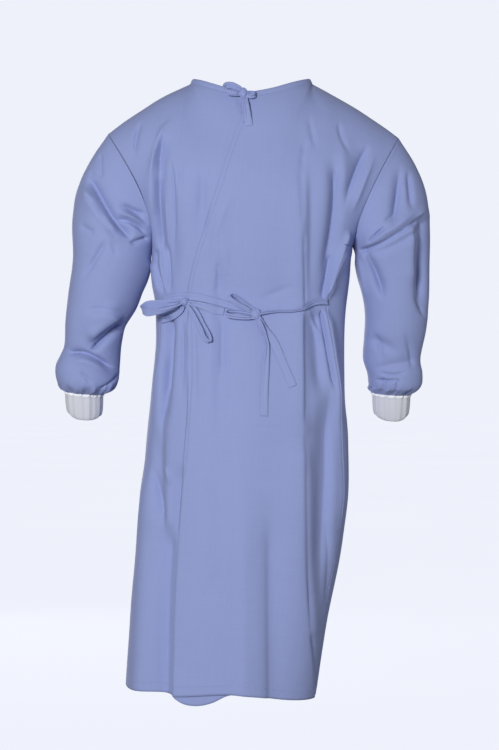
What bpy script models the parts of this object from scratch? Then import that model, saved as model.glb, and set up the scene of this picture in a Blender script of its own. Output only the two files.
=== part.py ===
"""A cloth surgical gown, filled out as if worn, tied at the back of the neck and of the waist.

Frame, in metres: +Z is up, -Y comes out of the gown's back, where its ties are, and +X is the
wearer's right. The origin is at the base of the wearer's neck, midway between the two shoulders,
at the height where the gown hangs on them.

Around the body an angle counts from the middle of the back: 0 is the back, +90 the wearer's
right side, 180 the front and -90 the left side.
"""
import math
from collections import namedtuple

import bpy
import numpy as np
from mathutils import Vector
from mathutils.bvhtree import BVHTree

# Thicknesses of the walls
CLOTH = 0.0012
BOUND_EDGE = 0.0020
KNIT = 0.0024
TIE = 0.0014

# Widths, gaps and places that drive the cut
SEAM_GAP = 0.0003
LAP_GAP = 0.0030
BINDING_WIDTH = 0.010
TIE_CLEARANCE = 0.0007
UNDERARM_Z = -0.325
WAIST_Z = -0.440
HEM_Z = -1.203
SQUARENESS = 2.3

# Body sections below the arms: the sides' x, and how far the back and the front stand from y = 0
Section = namedtuple("Section", "z left right back front")
SECTIONS = (
    Section(-0.325, -0.195, 0.2065, 0.142, 0.139),
    Section(-0.350, -0.1915, 0.2020, 0.138, 0.138),
    Section(-0.380, -0.1895, 0.1990, 0.133, 0.137),
    Section(-0.440, -0.187, 0.193, 0.124, 0.137),
    Section(-0.500, -0.185, 0.190, 0.133, 0.138),
    Section(-0.600, -0.193, 0.191, 0.148, 0.146),
    Section(-0.700, -0.204, 0.195, 0.160, 0.158),
    Section(-0.800, -0.212, 0.197, 0.168, 0.170),
    Section(-0.900, -0.219, 0.187, 0.173, 0.180),
    Section(-1.000, -0.228, 0.168, 0.177, 0.188),
    Section(-1.100, -0.237, 0.149, 0.180, 0.194),
    Section(-1.203, -0.244, 0.129, 0.182, 0.198),
)

# Where the seams and free edges run: the angle of each side seam, the x of each free back edge
Edges = namedtuple("Edges", "z seam_left seam_right flap under")
EDGES = (
    Edges(-0.067, -90, 90, -0.010, 0.018),
    Edges(-0.144, -90, 90, -0.037, 0.030),
    Edges(-0.211, -90, 90, -0.058, 0.040),
    Edges(-0.291, -90, 90, -0.087, 0.052),
    Edges(-0.325, -90, 90, -0.098, 0.058),
    Edges(-0.345, -86, 81, -0.105, 0.060),
    Edges(-0.375, -80, 66, -0.113, 0.063),
    Edges(-0.415, -72, 52, -0.121, 0.066),
    Edges(-0.450, -69, 49, -0.121, 0.068),
    Edges(-0.522, -71, 54, -0.119, 0.066),
    Edges(-0.602, -74, 60, -0.120, 0.060),
    Edges(-0.700, -76, 64, -0.125, 0.052),
    Edges(-0.850, -78, 66, -0.138, 0.036),
    Edges(-1.024, -80, 69, -0.150, 0.018),
    Edges(-1.203, -80, 71, -0.152, 0.004),
)

# The armholes: a loop from the underarm up to the end of the shoulder, bowed towards the body
Armhole = namedtuple("Armhole", "low_x low_z top_x top_z bow")
ARMHOLES = {
    "left": Armhole(-0.195, UNDERARM_Z, -0.283, -0.100, 0.022),
    "right": Armhole(0.2065, UNDERARM_Z, 0.297, -0.110, 0.013),
}
ARMHOLE_BACK = 0.078
ARMHOLE_FRONT = 0.070
SHOULDER_CROWN = 0.006

# The neck edge of the panels, where the binding begins
NECK_LEFT_X = -0.117
NECK_RIGHT_X = 0.124
NECK_SIDE_Z = 0.000
NECK_BACK_DROP = 0.037
NECK_FRONT_DROP = 0.090
NECK_BACK_Y = 0.094
NECK_FRONT_Y = 0.084
NECK_TURN = 0.45  # how much of the binding's width leans inwards instead of up

# Sleeve sections from the armhole to the cuff: the ends of each section in the plane of the
# back, its half depths, its middle's y, its bow, and how much lower its back stands
Ring = namedtuple("Ring", "outer_x outer_z inner_x inner_z back front middle bow pitch")
SLEEVES = {
    "right": (
        Ring(0.297, -0.110, 0.2065, -0.325, 0.078, 0.070, 0.000, 0.013, 0.00),
        Ring(0.331, -0.163, 0.2160, -0.340, 0.081, 0.077, 0.000, 0.008, 0.00),
        Ring(0.353, -0.220, 0.2190, -0.362, 0.081, 0.080, 0.002, 0.004, 0.02),
        Ring(0.3595, -0.290, 0.2215, -0.390, 0.077, 0.078, 0.005, 0.000, 0.05),
        Ring(0.360, -0.360, 0.2270, -0.422, 0.072, 0.074, 0.008, 0.000, 0.08),
        Ring(0.360, -0.425, 0.231, -0.462, 0.067, 0.068, 0.012, 0.000, 0.12),
        Ring(0.354, -0.485, 0.229, -0.502, 0.062, 0.062, 0.018, 0.000, 0.15),
        Ring(0.3385, -0.545, 0.2325, -0.547, 0.054, 0.054, 0.028, 0.000, 0.18),
        Ring(0.343, -0.577, 0.237, -0.578, 0.056, 0.056, 0.034, 0.000, 0.18),
        Ring(0.344, -0.600, 0.238, -0.600, 0.054, 0.054, 0.038, 0.000, 0.17),
        Ring(0.335, -0.6105, 0.2425, -0.6085, 0.045, 0.045, 0.041, 0.000, 0.16),
        Ring(0.3235, -0.620, 0.249, -0.617, 0.031, 0.031, 0.043, 0.000, 0.15),
    ),
    "left": (
        Ring(-0.283, -0.100, -0.195, -0.325, 0.078, 0.070, 0.000, 0.022, 0.00),
        Ring(-0.314, -0.147, -0.2065, -0.338, 0.081, 0.077, 0.000, 0.014, 0.00),
        Ring(-0.340, -0.205, -0.2100, -0.361, 0.082, 0.080, 0.002, 0.006, 0.02),
        Ring(-0.3535, -0.275, -0.2120, -0.388, 0.079, 0.080, 0.004, 0.000, 0.05),
        Ring(-0.354, -0.345, -0.216, -0.418, 0.075, 0.076, 0.008, 0.000, 0.08),
        Ring(-0.3585, -0.410, -0.228, -0.450, 0.070, 0.071, 0.012, 0.000, 0.12),
        Ring(-0.364, -0.470, -0.248, -0.484, 0.063, 0.063, 0.018, 0.000, 0.15),
        Ring(-0.368, -0.522, -0.258, -0.520, 0.057, 0.057, 0.026, 0.000, 0.17),
        Ring(-0.382, -0.562, -0.262, -0.562, 0.059, 0.059, 0.032, 0.000, 0.18),
        Ring(-0.381, -0.592, -0.265, -0.594, 0.058, 0.058, 0.037, 0.000, 0.17),
        Ring(-0.375, -0.607, -0.276, -0.612, 0.046, 0.046, 0.040, 0.000, 0.16),
        Ring(-0.3675, -0.614, -0.2915, -0.620, 0.031, 0.031, 0.042, 0.000, 0.15),
    ),
}

# Cuffs: how far below the sleeve's end each ring lies, and its size beside that end's
CuffRing = namedtuple("CuffRing", "drop width depth corner_lift")
CUFF_RINGS = (
    CuffRing(0.000, 1.00, 1.00, 0.000),
    CuffRing(0.013, 1.01, 1.02, 0.000),
    CuffRing(0.029, 0.99, 1.00, 0.000),
    CuffRing(0.043, 0.93, 0.95, 0.004),
    CuffRing(0.052, 0.82, 0.90, 0.009),
)
GATHERS = 10
GATHER_DEPTH = 0.0045

# Folds of the cloth: a path of three points in the plane of the back, how far the cloth stands
# out there (less than 0 is a trough), and how wide it falls off on the path's left and right,
# for a path that runs down. A front fold stands out of the front.
Fold = namedtuple("Fold", "x0 z0 x1 z1 x2 z2 height left_width right_width front fade")
FOLDS = {
    "left seam ridge": Fold(-0.190, -0.350, -0.186, -0.385, -0.174, -0.440, 0.008, 0.012, 0.010, 0, 0.3),
    "left blade ridge": Fold(-0.150, -0.070, -0.186, -0.200, -0.172, -0.330, 0.007, 0.016, 0.011, 0, 0.4),
    "left blade trough": Fold(-0.168, -0.110, -0.176, -0.230, -0.160, -0.440, -0.013, 0.012, 0.014, 0, 0.2),
    "left second trough": Fold(-0.158, -0.170, -0.150, -0.290, -0.146, -0.430, -0.006, 0.009, 0.012, 0, 0.3),
    "left third trough": Fold(-0.098, -0.170, -0.094, -0.250, -0.098, -0.350, -0.005, 0.014, 0.012, 0, 0.4),
    "flap ridge": Fold(-0.040, -0.230, -0.060, -0.320, -0.062, -0.430, 0.004, 0.016, 0.016, 0, 0.4),
    "waist trough": Fold(-0.052, -0.330, -0.058, -0.520, -0.054, -0.800, -0.007, 0.013, 0.020, 0, 0.3),
    "right long crease": Fold(0.104, -0.130, 0.102, -0.420, 0.108, -0.800, 0.008, 0.030, 0.010, 0, 0.25),
    "right hip edge": Fold(0.106, -0.700, 0.116, -0.950, 0.122, -1.230, 0.012, 0.040, 0.016, 0, 0.1),
    "right blade hollow": Fold(0.150, -0.200, 0.150, -0.330, 0.132, -0.440, -0.014, 0.024, 0.020, 0, 0.35),
    "right shoulder trough": Fold(0.225, -0.130, 0.205, -0.190, 0.170, -0.290, -0.008, 0.013, 0.015, 0, 0.4),
    "right shoulder ridge": Fold(0.190, -0.110, 0.180, -0.170, 0.176, -0.240, 0.005, 0.014, 0.014, 0, 0.4),
    "right seam ridge": Fold(0.190, -0.355, 0.170, -0.392, 0.146, -0.432, 0.012, 0.010, 0.008, 0, 0.15),
    "right seam lower ridge": Fold(0.144, -0.448, 0.158, -0.540, 0.184, -0.720, 0.010, 0.010, 0.010, 0, 0.2),
    "right seam bulge": Fold(0.178, -0.660, 0.186, -0.760, 0.180, -0.900, 0.006, 0.012, 0.016, 0, 0.3),
    "right waist hollow": Fold(0.128, -0.450, 0.132, -0.520, 0.140, -0.640, -0.014, 0.014, 0.013, 0, 0.25),
    "left waist hollow": Fold(-0.158, -0.450, -0.158, -0.520, -0.150, -0.640, -0.018, 0.009, 0.012, 0, 0.25),
    "left hip ridge": Fold(-0.172, -0.450, -0.176, -0.540, -0.190, -0.720, 0.007, 0.014, 0.009, 0, 0.3),
    "left hip trough": Fold(-0.162, -0.640, -0.186, -0.780, -0.170, -0.930, -0.009, 0.014, 0.016, 0, 0.4),
    "left skirt ridge": Fold(-0.200, -0.740, -0.215, -0.960, -0.222, -1.230, 0.010, 0.024, 0.018, 0, 0.2),
    "left skirt trough": Fold(-0.170, -0.900, -0.182, -1.060, -0.186, -1.230, -0.012, 0.018, 0.016, 0, 0.2),
    "middle skirt swell": Fold(-0.020, -0.560, -0.010, -0.850, 0.000, -1.230, 0.006, 0.040, 0.040, 0, 0.3),
    "right skirt trough": Fold(0.040, -0.800, 0.046, -1.000, 0.050, -1.230, -0.007, 0.022, 0.022, 0, 0.3),
    "left sleeve step": Fold(-0.318, -0.180, -0.285, -0.262, -0.205, -0.325, 0.011, 0.008, 0.020, 0, 0.25),
    "left sleeve under step": Fold(-0.326, -0.196, -0.292, -0.282, -0.225, -0.345, -0.009, 0.012, 0.008, 0, 0.3),
    "left sleeve second trough": Fold(-0.325, -0.235, -0.285, -0.290, -0.262, -0.345, -0.006, 0.012, 0.012, 0, 0.4),
    "left underarm pleat": Fold(-0.262, -0.250, -0.230, -0.262, -0.198, -0.290, -0.008, 0.008, 0.008, 0, 0.3),
    "left elbow fold": Fold(-0.236, -0.470, -0.285, -0.498, -0.326, -0.535, -0.010, 0.010, 0.010, 0, 0.3),
    "left elbow swell": Fold(-0.240, -0.440, -0.290, -0.462, -0.340, -0.480, 0.006, 0.014, 0.016, 0, 0.4),
    "left puff fold": Fold(-0.378, -0.538, -0.325, -0.540, -0.262, -0.578, -0.006, 0.008, 0.009, 0, 0.2),
    "right sleeve step": Fold(0.352, -0.240, 0.300, -0.300, 0.214, -0.328, 0.010, 0.008, 0.022, 0, 0.2),
    "right sleeve under step": Fold(0.360, -0.262, 0.300, -0.318, 0.222, -0.346, -0.009, 0.012, 0.008, 0, 0.2),
    "right cap trough": Fold(0.292, -0.200, 0.290, -0.240, 0.276, -0.290, -0.006, 0.010, 0.012, 0, 0.4),
    "right outer trough": Fold(0.318, -0.290, 0.326, -0.400, 0.346, -0.470, -0.009, 0.012, 0.014, 0, 0.35),
    "right inner trough": Fold(0.226, -0.345, 0.250, -0.390, 0.270, -0.435, -0.008, 0.012, 0.012, 0, 0.4),
    "right elbow fold": Fold(0.226, -0.512, 0.262, -0.520, 0.300, -0.545, -0.007, 0.009, 0.010, 0, 0.4),
    "right puff fold": Fold(0.336, -0.552, 0.290, -0.560, 0.236, -0.572, -0.004, 0.008, 0.008, 0, 0.3),
    "front left long fold": Fold(-0.095, -0.160, -0.110, -0.600, -0.150, -1.230, 0.012, 0.030, 0.020, 1, 0.2),
    "front left trough": Fold(-0.050, -0.260, -0.062, -0.650, -0.098, -1.230, -0.011, 0.022, 0.024, 1, 0.25),
    "front middle swell": Fold(0.000, -0.300, -0.010, -0.700, -0.042, -1.230, 0.009, 0.030, 0.028, 1, 0.3),
    "front right trough": Fold(0.055, -0.240, 0.050, -0.650, 0.010, -1.230, -0.012, 0.020, 0.022, 1, 0.25),
    "front right long fold": Fold(0.110, -0.150, 0.108, -0.600, 0.062, -1.230, 0.013, 0.022, 0.030, 1, 0.2),
    "front left side trough": Fold(-0.160, -0.330, -0.158, -0.600, -0.200, -1.230, -0.011, 0.016, 0.020, 1, 0.25),
    "front right side trough": Fold(0.170, -0.330, 0.155, -0.650, 0.102, -1.230, -0.011, 0.018, 0.016, 1, 0.25),
    "front left armhole fold": Fold(-0.215, -0.150, -0.178, -0.230, -0.150, -0.330, -0.008, 0.014, 0.014, 1, 0.4),
    "front right armhole fold": Fold(0.225, -0.155, 0.188, -0.235, 0.160, -0.335, -0.008, 0.014, 0.014, 1, 0.4),
    "front left sleeve fold": Fold(-0.330, -0.230, -0.285, -0.300, -0.215, -0.345, -0.009, 0.014, 0.012, 1, 0.3),
    "front right sleeve fold": Fold(0.345, -0.245, 0.295, -0.310, 0.222, -0.350, -0.009, 0.014, 0.012, 1, 0.3),
    "front left elbow fold": Fold(-0.350, -0.420, -0.300, -0.440, -0.245, -0.455, -0.010, 0.012, 0.012, 1, 0.3),
    "front right elbow fold": Fold(0.350, -0.430, 0.300, -0.450, 0.240, -0.465, -0.010, 0.012, 0.012, 1, 0.3),
    "front left forearm fold": Fold(-0.358, -0.490, -0.310, -0.505, -0.262, -0.500, -0.007, 0.010, 0.010, 1, 0.3),
    "front right forearm fold": Fold(0.345, -0.500, 0.300, -0.515, 0.240, -0.510, -0.007, 0.010, 0.010, 1, 0.3),
}
FOLD_STEPS = 24

# How high each layer's hem hangs above HEM_Z, across the gown from its left side to its right
Hem = namedtuple("Hem", "x outer under front")
HEMS = (
    Hem(-0.270, 0.007, 0.007, 0.007),
    Hem(-0.225, 0.007, 0.007, 0.007),
    Hem(-0.151, 0.004, 0.003, 0.000),
    Hem(-0.128, 0.005, -0.009, -0.003),
    Hem(-0.100, 0.007, -0.012, -0.004),
    Hem(-0.072, 0.009, -0.006, -0.003),
    Hem(-0.042, 0.010, 0.008, 0.001),
    Hem(0.010, 0.005, 0.008, 0.004),
    Hem(0.065, -0.005, 0.000, -0.001),
    Hem(0.110, -0.009, -0.009, -0.009),
    Hem(0.150, -0.009, -0.009, -0.009),
)
HEM_EASE_Z = -0.690

# Ties that lie on what is behind them: the middle line, the width seen, the stand off the cloth
Laid = namedtuple("Laid", "x z width lift")
WAIST_TIE_LEFT = (
    Laid(-0.1700, -0.4335, 0.0135, 0.000),
    Laid(-0.1384, -0.4290, 0.0140, 0.000),
    Laid(-0.1105, -0.4300, 0.0140, 0.000),
    Laid(-0.0623, -0.4400, 0.0135, 0.000),
    Laid(-0.0281, -0.4504, 0.0120, 0.001),
    Laid(0.0100, -0.4640, 0.0080, 0.005),
)
WAIST_TIE_FRONT = (
    Laid(-0.1740, -0.4735, 0.0130, 0.000),
    Laid(-0.1538, -0.4690, 0.0130, 0.000),
    Laid(-0.1340, -0.4570, 0.0100, 0.001),
    Laid(-0.1262, -0.4400, 0.0070, 0.004),
)
WAIST_TIE_RIGHT = (
    Laid(0.1525, -0.4385, 0.0140, 0.000),
    Laid(0.1330, -0.4410, 0.0110, 0.001),
    Laid(0.1120, -0.4490, 0.0095, 0.001),
    Laid(0.0880, -0.4570, 0.0090, 0.002),
    Laid(0.0500, -0.4590, 0.0090, 0.003),
    Laid(0.0140, -0.4640, 0.0080, 0.006),
)
SIDE_TAIL = (
    Laid(-0.1258, -0.4400, 0.0070, 0.004),
    Laid(-0.1090, -0.4430, 0.0100, 0.002),
    Laid(-0.0900, -0.4480, 0.0135, 0.001),
    Laid(-0.0720, -0.4545, 0.0145, 0.000),
    Laid(-0.0490, -0.4590, 0.0145, 0.000),
)
MIDDLE_TAIL_DOWN = (
    Laid(0.0135, -0.4650, 0.0080, 0.006),
    Laid(0.0270, -0.4990, 0.0100, 0.002),
    Laid(0.0342, -0.5230, 0.0075, 0.002),
    Laid(0.0325, -0.5550, 0.0120, 0.001),
    Laid(0.0292, -0.6100, 0.0140, 0.000),
    Laid(0.0281, -0.6610, 0.0145, 0.000),
)
MIDDLE_TAIL_ASLANT = (
    Laid(0.0150, -0.4650, 0.0080, 0.006),
    Laid(0.0280, -0.4900, 0.0120, 0.003),
    Laid(0.0455, -0.5150, 0.0150, 0.001),
    Laid(0.0655, -0.5600, 0.0150, 0.000),
    Laid(0.0845, -0.6040, 0.0150, 0.000),
)
NECK_TAIL = (
    Laid(-0.0105, -0.0350, 0.0080, 0.005),
    Laid(-0.0065, -0.0560, 0.0110, 0.002),
    Laid(-0.0040, -0.0740, 0.0130, 0.001),
    Laid(-0.0012, -0.0985, 0.0155, 0.000),
)
NECK_TAIL_UNDER = (
    Laid(-0.0115, -0.0390, 0.0080, 0.002),
    Laid(-0.0090, -0.0560, 0.0110, 0.001),
    Laid(-0.0085, -0.0740, 0.0130, 0.000),
    Laid(-0.0070, -0.0900, 0.0140, 0.000),
)

# Loops that stand free: the middle line, how far out of the knot's middle, and how the ribbon's
# width leans in the plane of the back and tilts out of it, in degrees
Free = namedtuple("Free", "x out z lean tilt width")
SIDE_LOOP_LEFT = (
    Free(-0.1258, 0.000, -0.4380, 90, 45, 0.0070),
    Free(-0.1500, -0.004, -0.4395, 90, 52, 0.0130),
    Free(-0.1800, -0.014, -0.4430, 90, 55, 0.0145),
    Free(-0.2030, -0.024, -0.4475, 95, 55, 0.0145),
    Free(-0.2115, -0.026, -0.4560, 100, 55, 0.0145),
    Free(-0.2030, -0.020, -0.4640, 95, 55, 0.0145),
    Free(-0.1800, -0.008, -0.4610, 90, 55, 0.0145),
    Free(-0.1540, 0.002, -0.4540, 90, 52, 0.0130),
    Free(-0.1258, 0.003, -0.4420, 90, 45, 0.0070),
)
SIDE_LOOP_LOW = (
    Free(-0.1250, -0.001, -0.4400, 30, 45, 0.0070),
    Free(-0.1080, -0.002, -0.4540, 30, 55, 0.0130),
    Free(-0.0920, -0.002, -0.4830, 30, 58, 0.0145),
    Free(-0.0780, 0.000, -0.5140, 30, 58, 0.0145),
    Free(-0.0820, 0.006, -0.5130, 30, 58, 0.0145),
    Free(-0.0980, 0.006, -0.4870, 30, 58, 0.0145),
    Free(-0.1130, 0.006, -0.4600, 30, 55, 0.0130),
    Free(-0.1255, 0.003, -0.4400, 30, 45, 0.0070),
)
MIDDLE_LOOP_HIGH = (
    Free(0.0120, -0.001, -0.4585, 58, 40, 0.0080),
    Free(-0.0130, -0.002, -0.4440, 58, 48, 0.0135),
    Free(-0.0360, -0.001, -0.4300, 58, 50, 0.0145),
    Free(-0.0420, 0.003, -0.4300, 58, 50, 0.0145),
    Free(-0.0400, 0.007, -0.4360, 58, 50, 0.0145),
    Free(-0.0160, 0.005, -0.4500, 58, 48, 0.0135),
    Free(0.0120, 0.002, -0.4610, 58, 40, 0.0080),
)
MIDDLE_LOOP_LOW = (
    Free(0.0120, -0.004, -0.4670, 90, 35, 0.0080),
    Free(-0.0150, -0.003, -0.4590, 90, 45, 0.0135),
    Free(-0.0390, -0.002, -0.4590, 90, 45, 0.0145),
    Free(-0.0465, 0.002, -0.4640, 90, 45, 0.0145),
    Free(-0.0390, 0.006, -0.4690, 90, 45, 0.0145),
    Free(-0.0150, 0.006, -0.4710, 90, 45, 0.0135),
    Free(0.0120, 0.001, -0.4710, 90, 35, 0.0080),
)
NECK_LOOP_LEFT = (
    Free(-0.0113, -0.002, -0.0260, 90, 35, 0.0070),
    Free(-0.0250, 0.000, -0.0205, 90, 42, 0.0130),
    Free(-0.0400, 0.004, -0.0180, 90, 45, 0.0155),
    Free(-0.0500, 0.010, -0.0270, 90, 45, 0.0155),
    Free(-0.0430, 0.015, -0.0370, 90, 45, 0.0155),
    Free(-0.0290, 0.012, -0.0415, 90, 42, 0.0130),
    Free(-0.0113, 0.004, -0.0370, 90, 35, 0.0070),
)
NECK_LOOP_RIGHT = (
    Free(-0.0113, -0.002, -0.0290, 90, 30, 0.0070),
    Free(0.0020, 0.000, -0.0325, 90, 35, 0.0115),
    Free(0.0105, 0.004, -0.0360, 90, 40, 0.0140),
    Free(0.0110, 0.009, -0.0400, 90, 40, 0.0140),
    Free(0.0020, 0.010, -0.0415, 90, 35, 0.0115),
    Free(-0.0113, 0.004, -0.0370, 90, 30, 0.0070),
)

# Knots: the middle and the half sizes
Knot = namedtuple("Knot", "x z half_x half_y half_z")
SIDE_KNOT = Knot(-0.1258, -0.4390, 0.0062, 0.0058, 0.0075)
MIDDLE_KNOT = Knot(0.0126, -0.4645, 0.0100, 0.0075, 0.0120)
NECK_KNOT = Knot(-0.0113, -0.0315, 0.0060, 0.0062, 0.0100)

# The bows. In each, what passes under the knot comes first, then the knot, then what leaves it
BOWS = (
    (
        ("neck_bow_knot", NECK_KNOT),
        ("neck_bow_tail_under", NECK_TAIL_UNDER),
        ("neck_bow_tail", NECK_TAIL),
        ("neck_bow_loop_left", NECK_LOOP_LEFT),
        ("neck_bow_loop_right", NECK_LOOP_RIGHT),
    ),
    (
        ("middle_bow_knot", MIDDLE_KNOT),
        ("waist_tie_left", WAIST_TIE_LEFT),
        ("waist_tie_right", WAIST_TIE_RIGHT),
        ("middle_bow_tail_aslant", MIDDLE_TAIL_ASLANT),
        ("middle_bow_tail_down", MIDDLE_TAIL_DOWN),
        ("middle_bow_loop_low", MIDDLE_LOOP_LOW),
        ("middle_bow_loop_high", MIDDLE_LOOP_HIGH),
    ),
    (
        ("side_bow_knot", SIDE_KNOT),
        ("waist_tie_front", WAIST_TIE_FRONT),
        ("side_bow_tail", SIDE_TAIL),
        ("side_bow_loop_low", SIDE_LOOP_LOW),
        ("side_bow_loop_left", SIDE_LOOP_LEFT),
    ),
)
KNOT_GAP = 0.0004
KNOT_SIDES = 8
KNOT_RINGS = 5
LAID_STEP = 0.0095
FREE_STEP = 0.0065
TIE_EASE = 0.004  # how far a tie bridges a dip in the cloth
EDGE_RELIEF = 0.006  # how far back a tie's edge falls where there is no cloth behind it
FINE = 0.0004
FAR = 9.0  # metres, past everything
MOST_PUSH = 0.006
MITRE_COSINE = 0.97  # between a sheet's own normal and the mitre's
MITRE_RANGE = 0.3
SHARP_SHIFT = 0.0052
TINY = 1e-12

# Colours and roughness
FINISHES = {"cloth": ("#8C9ACF", 0.85), "knit": ("#D3D5DE", 0.9)}

WELD = 0.00005
TUCK_COLUMNS = 5
FRONT_MARKS = (132, 228)

# How many rows and columns of points the panels have
UPPER_ROWS = 10
WAIST_ROWS = 9
SKIRT_ROWS = 14
SHOULDER_COLUMNS = 9
NECK_COLUMNS = 4
LAP_COLUMNS = 6
FRONT_COLUMNS = 10
BACK_COUNTS = (SHOULDER_COLUMNS, NECK_COLUMNS, LAP_COLUMNS, NECK_COLUMNS, SHOULDER_COLUMNS)
FRONT_COUNTS = (SHOULDER_COLUMNS, FRONT_COLUMNS, SHOULDER_COLUMNS)
BACK_EASES = (None, "start", None, "end", None)
FRONT_EASES = (None, "both", None)
SPREAD_ROW = 0.33
EDGE_POWER = 3.0
ARMHOLE_POWER = 4.0  # how closely the sharp turn under the arm keeps to the armhole
UNDERARM_EASE = 0.30
SLEEVE_STEP = 0.6
PUFF_STEP = 0.5
PUFF_START = 8.4


def smooth_between(at, places, values):
    """A smooth curve through (places, values), read at `at`; places rise."""
    places, values = np.asarray(places, float), np.asarray(values, float)
    slopes = np.gradient(values, places)
    at = np.clip(at, places[0], places[-1])
    i = np.clip(np.searchsorted(places, at) - 1, 0, len(places) - 2)
    step = places[i + 1] - places[i]
    t = (at - places[i]) / step
    return (
        (2 * t**3 - 3 * t**2 + 1) * values[i]
        + (t**3 - 2 * t**2 + t) * step * slopes[i]
        + (3 * t**2 - 2 * t**3) * values[i + 1]
        + (t**3 - t**2) * step * slopes[i + 1]
    )


def column_of(table, name):
    """One named column of a table whose rows run downwards, as (rising places, values)."""
    rows = sorted(table, key=lambda row: row.z)
    return [row.z for row in rows], [getattr(row, name) for row in rows]


def body_size(name, z):
    return smooth_between(z, *column_of(SECTIONS, name))


def edge_place(name, z):
    return smooth_between(z, *column_of(EDGES, name))


def soft_step(t):
    t = np.clip(t, 0.0, 1.0)
    return t * t * (3 - 2 * t)


def across(angle):
    """The share of the half width at an angle around a section, from -1 to 1."""
    s = np.sin(np.radians(angle))
    return np.sign(s) * np.abs(s) ** (2 / SQUARENESS)


def outwards(angle):
    """The share of the depth at an angle around a section: 1 at the back, -1 at the front."""
    c = np.cos(np.radians(angle))
    return np.sign(c) * np.abs(c) ** (2 / SQUARENESS)


def angle_of(share):
    """The angle on the back whose share of the half width is `share`."""
    share = np.clip(share, -1.0, 1.0)
    return np.degrees(np.arcsin(np.sign(share) * np.abs(share) ** (SQUARENESS / 2)))


def lower_row(z, angle, layer):
    """Points of the body around one height below the arms. The hem's rise and fall fades upwards."""
    middle = (body_size("left", z) + body_size("right", z)) / 2
    half = (body_size("right", z) - body_size("left", z)) / 2
    depth = np.where(outwards(angle) > 0, body_size("back", z), body_size("front", z))
    x = middle + half * across(angle)
    y = -depth * outwards(angle)
    near_hem = soft_step((HEM_EASE_Z - z) / (HEM_EASE_Z - HEM_Z))
    return np.stack([x, y, z + hem_drop(x, layer) * near_hem], axis=1)


def rise(t):
    """How far up from the underarm to the shoulder a row lies; rows are closer at both ends."""
    return (1 - np.cos(np.pi * t)) / 2


def shoulder_half_width():
    left, right = ARMHOLES["left"], ARMHOLES["right"]
    return (right.top_x + left.top_x) / 2, (right.top_x - left.top_x) / 2


def neck_share(x):
    """Where x lies between the neck's two sides: -1 at the left, 1 at the right."""
    middle, half = (NECK_RIGHT_X + NECK_LEFT_X) / 2, (NECK_RIGHT_X - NECK_LEFT_X) / 2
    return (x - middle) / half


def top_edge(share, is_back):
    """(y, z) of the panels' top edge: the shoulder seams, and between them the neck edge."""
    middle, half = shoulder_half_width()
    x = middle + half * share
    left, right = ARMHOLES["left"], ARMHOLES["right"]
    end_z = np.where(x < 0, left.top_z, right.top_z)
    end_x = np.where(x < 0, left.top_x, right.top_x)
    neck_x = np.where(x < 0, NECK_LEFT_X, NECK_RIGHT_X)
    along = np.clip((x - neck_x) / (end_x - neck_x), 0, 1)
    shoulder_z = NECK_SIDE_Z + (end_z - NECK_SIDE_Z) * along
    shoulder_z = shoulder_z + SHOULDER_CROWN * np.sin(np.pi * along)
    w = np.clip(np.abs(neck_share(x)), 0, 1)
    round_neck = np.sqrt(1 - w**2)
    if is_back:
        y, drop = -NECK_BACK_Y * round_neck, NECK_BACK_DROP * (1 - w**1.35)
    else:
        y, drop = NECK_FRONT_Y * round_neck, NECK_FRONT_DROP * (1 - w**2) ** 0.8
    in_neck = w < 1
    return np.where(in_neck, y, 0.0), np.where(in_neck, NECK_SIDE_Z - drop, shoulder_z)


def upper_row(t, marks, is_back):
    """Points of the body at row t between the underarm (0) and its top edge (1)."""
    counts, eases = (BACK_COUNTS, BACK_EASES) if is_back else (FRONT_COUNTS, FRONT_EASES)
    angle, f = spaced(marks, counts), rise(t)
    spread = soft_step(t / SPREAD_ROW)
    even = spaced(across(np.array(marks)), counts, eases)
    share = (1 - spread) * across(angle) + spread * even
    low_middle = (body_size("left", UNDERARM_Z) + body_size("right", UNDERARM_Z)) / 2
    low_half = (body_size("right", UNDERARM_Z) - body_size("left", UNDERARM_Z)) / 2
    top_middle, top_half = shoulder_half_width()
    x = (1 - f) * (low_middle + low_half * share) + f * (top_middle + top_half * share)
    bow = np.where(share < 0, ARMHOLES["left"].bow, -ARMHOLES["right"].bow)
    x = x + bow * armhole_bow(f) * np.abs(share) ** 6
    top_y, top_z = top_edge(share, is_back)
    z = (1 - f) * UNDERARM_Z + f * top_z
    depth = body_size("back" if is_back else "front", UNDERARM_Z)
    depth = depth + 0.009 * np.sin(np.pi * min(1.0, 1.3 * f))
    at_neck = 1 - soft_step((np.abs(neck_share(x)) - 0.7) / 0.6)
    arch = (1 - f**2.4) ** (1 / (2 - 0.75 * at_neck))
    shape = (1 - spread) * np.abs(outwards(angle)) + spread * (1 - np.abs(share) ** EDGE_POWER)
    side = ARMHOLE_BACK if is_back else ARMHOLE_FRONT
    at_armhole = np.abs(share) ** ARMHOLE_POWER
    turn = np.sin(np.pi * t) * (at_armhole + (1 - at_armhole) * soft_step(t / UNDERARM_EASE))
    stand = (1 - arch) * np.abs(top_y) + shape * depth * arch + (1 - shape) * side * turn
    if t >= 1:
        stand = np.abs(top_y)
    return np.stack([x, -stand if is_back else stand, z], axis=1)


def armhole_bow(f):
    """How an armhole's bow grows and fades from its low end (0) to its top (1)."""
    return np.sin(np.pi * np.clip(f, 0, 1) ** 0.75)


def hem_drop(x, layer):
    """How much higher than HEM_Z a layer's hem hangs, and lower where it is less than 0."""
    return smooth_between(x, [row.x for row in HEMS], [getattr(row, layer) for row in HEMS])


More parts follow.
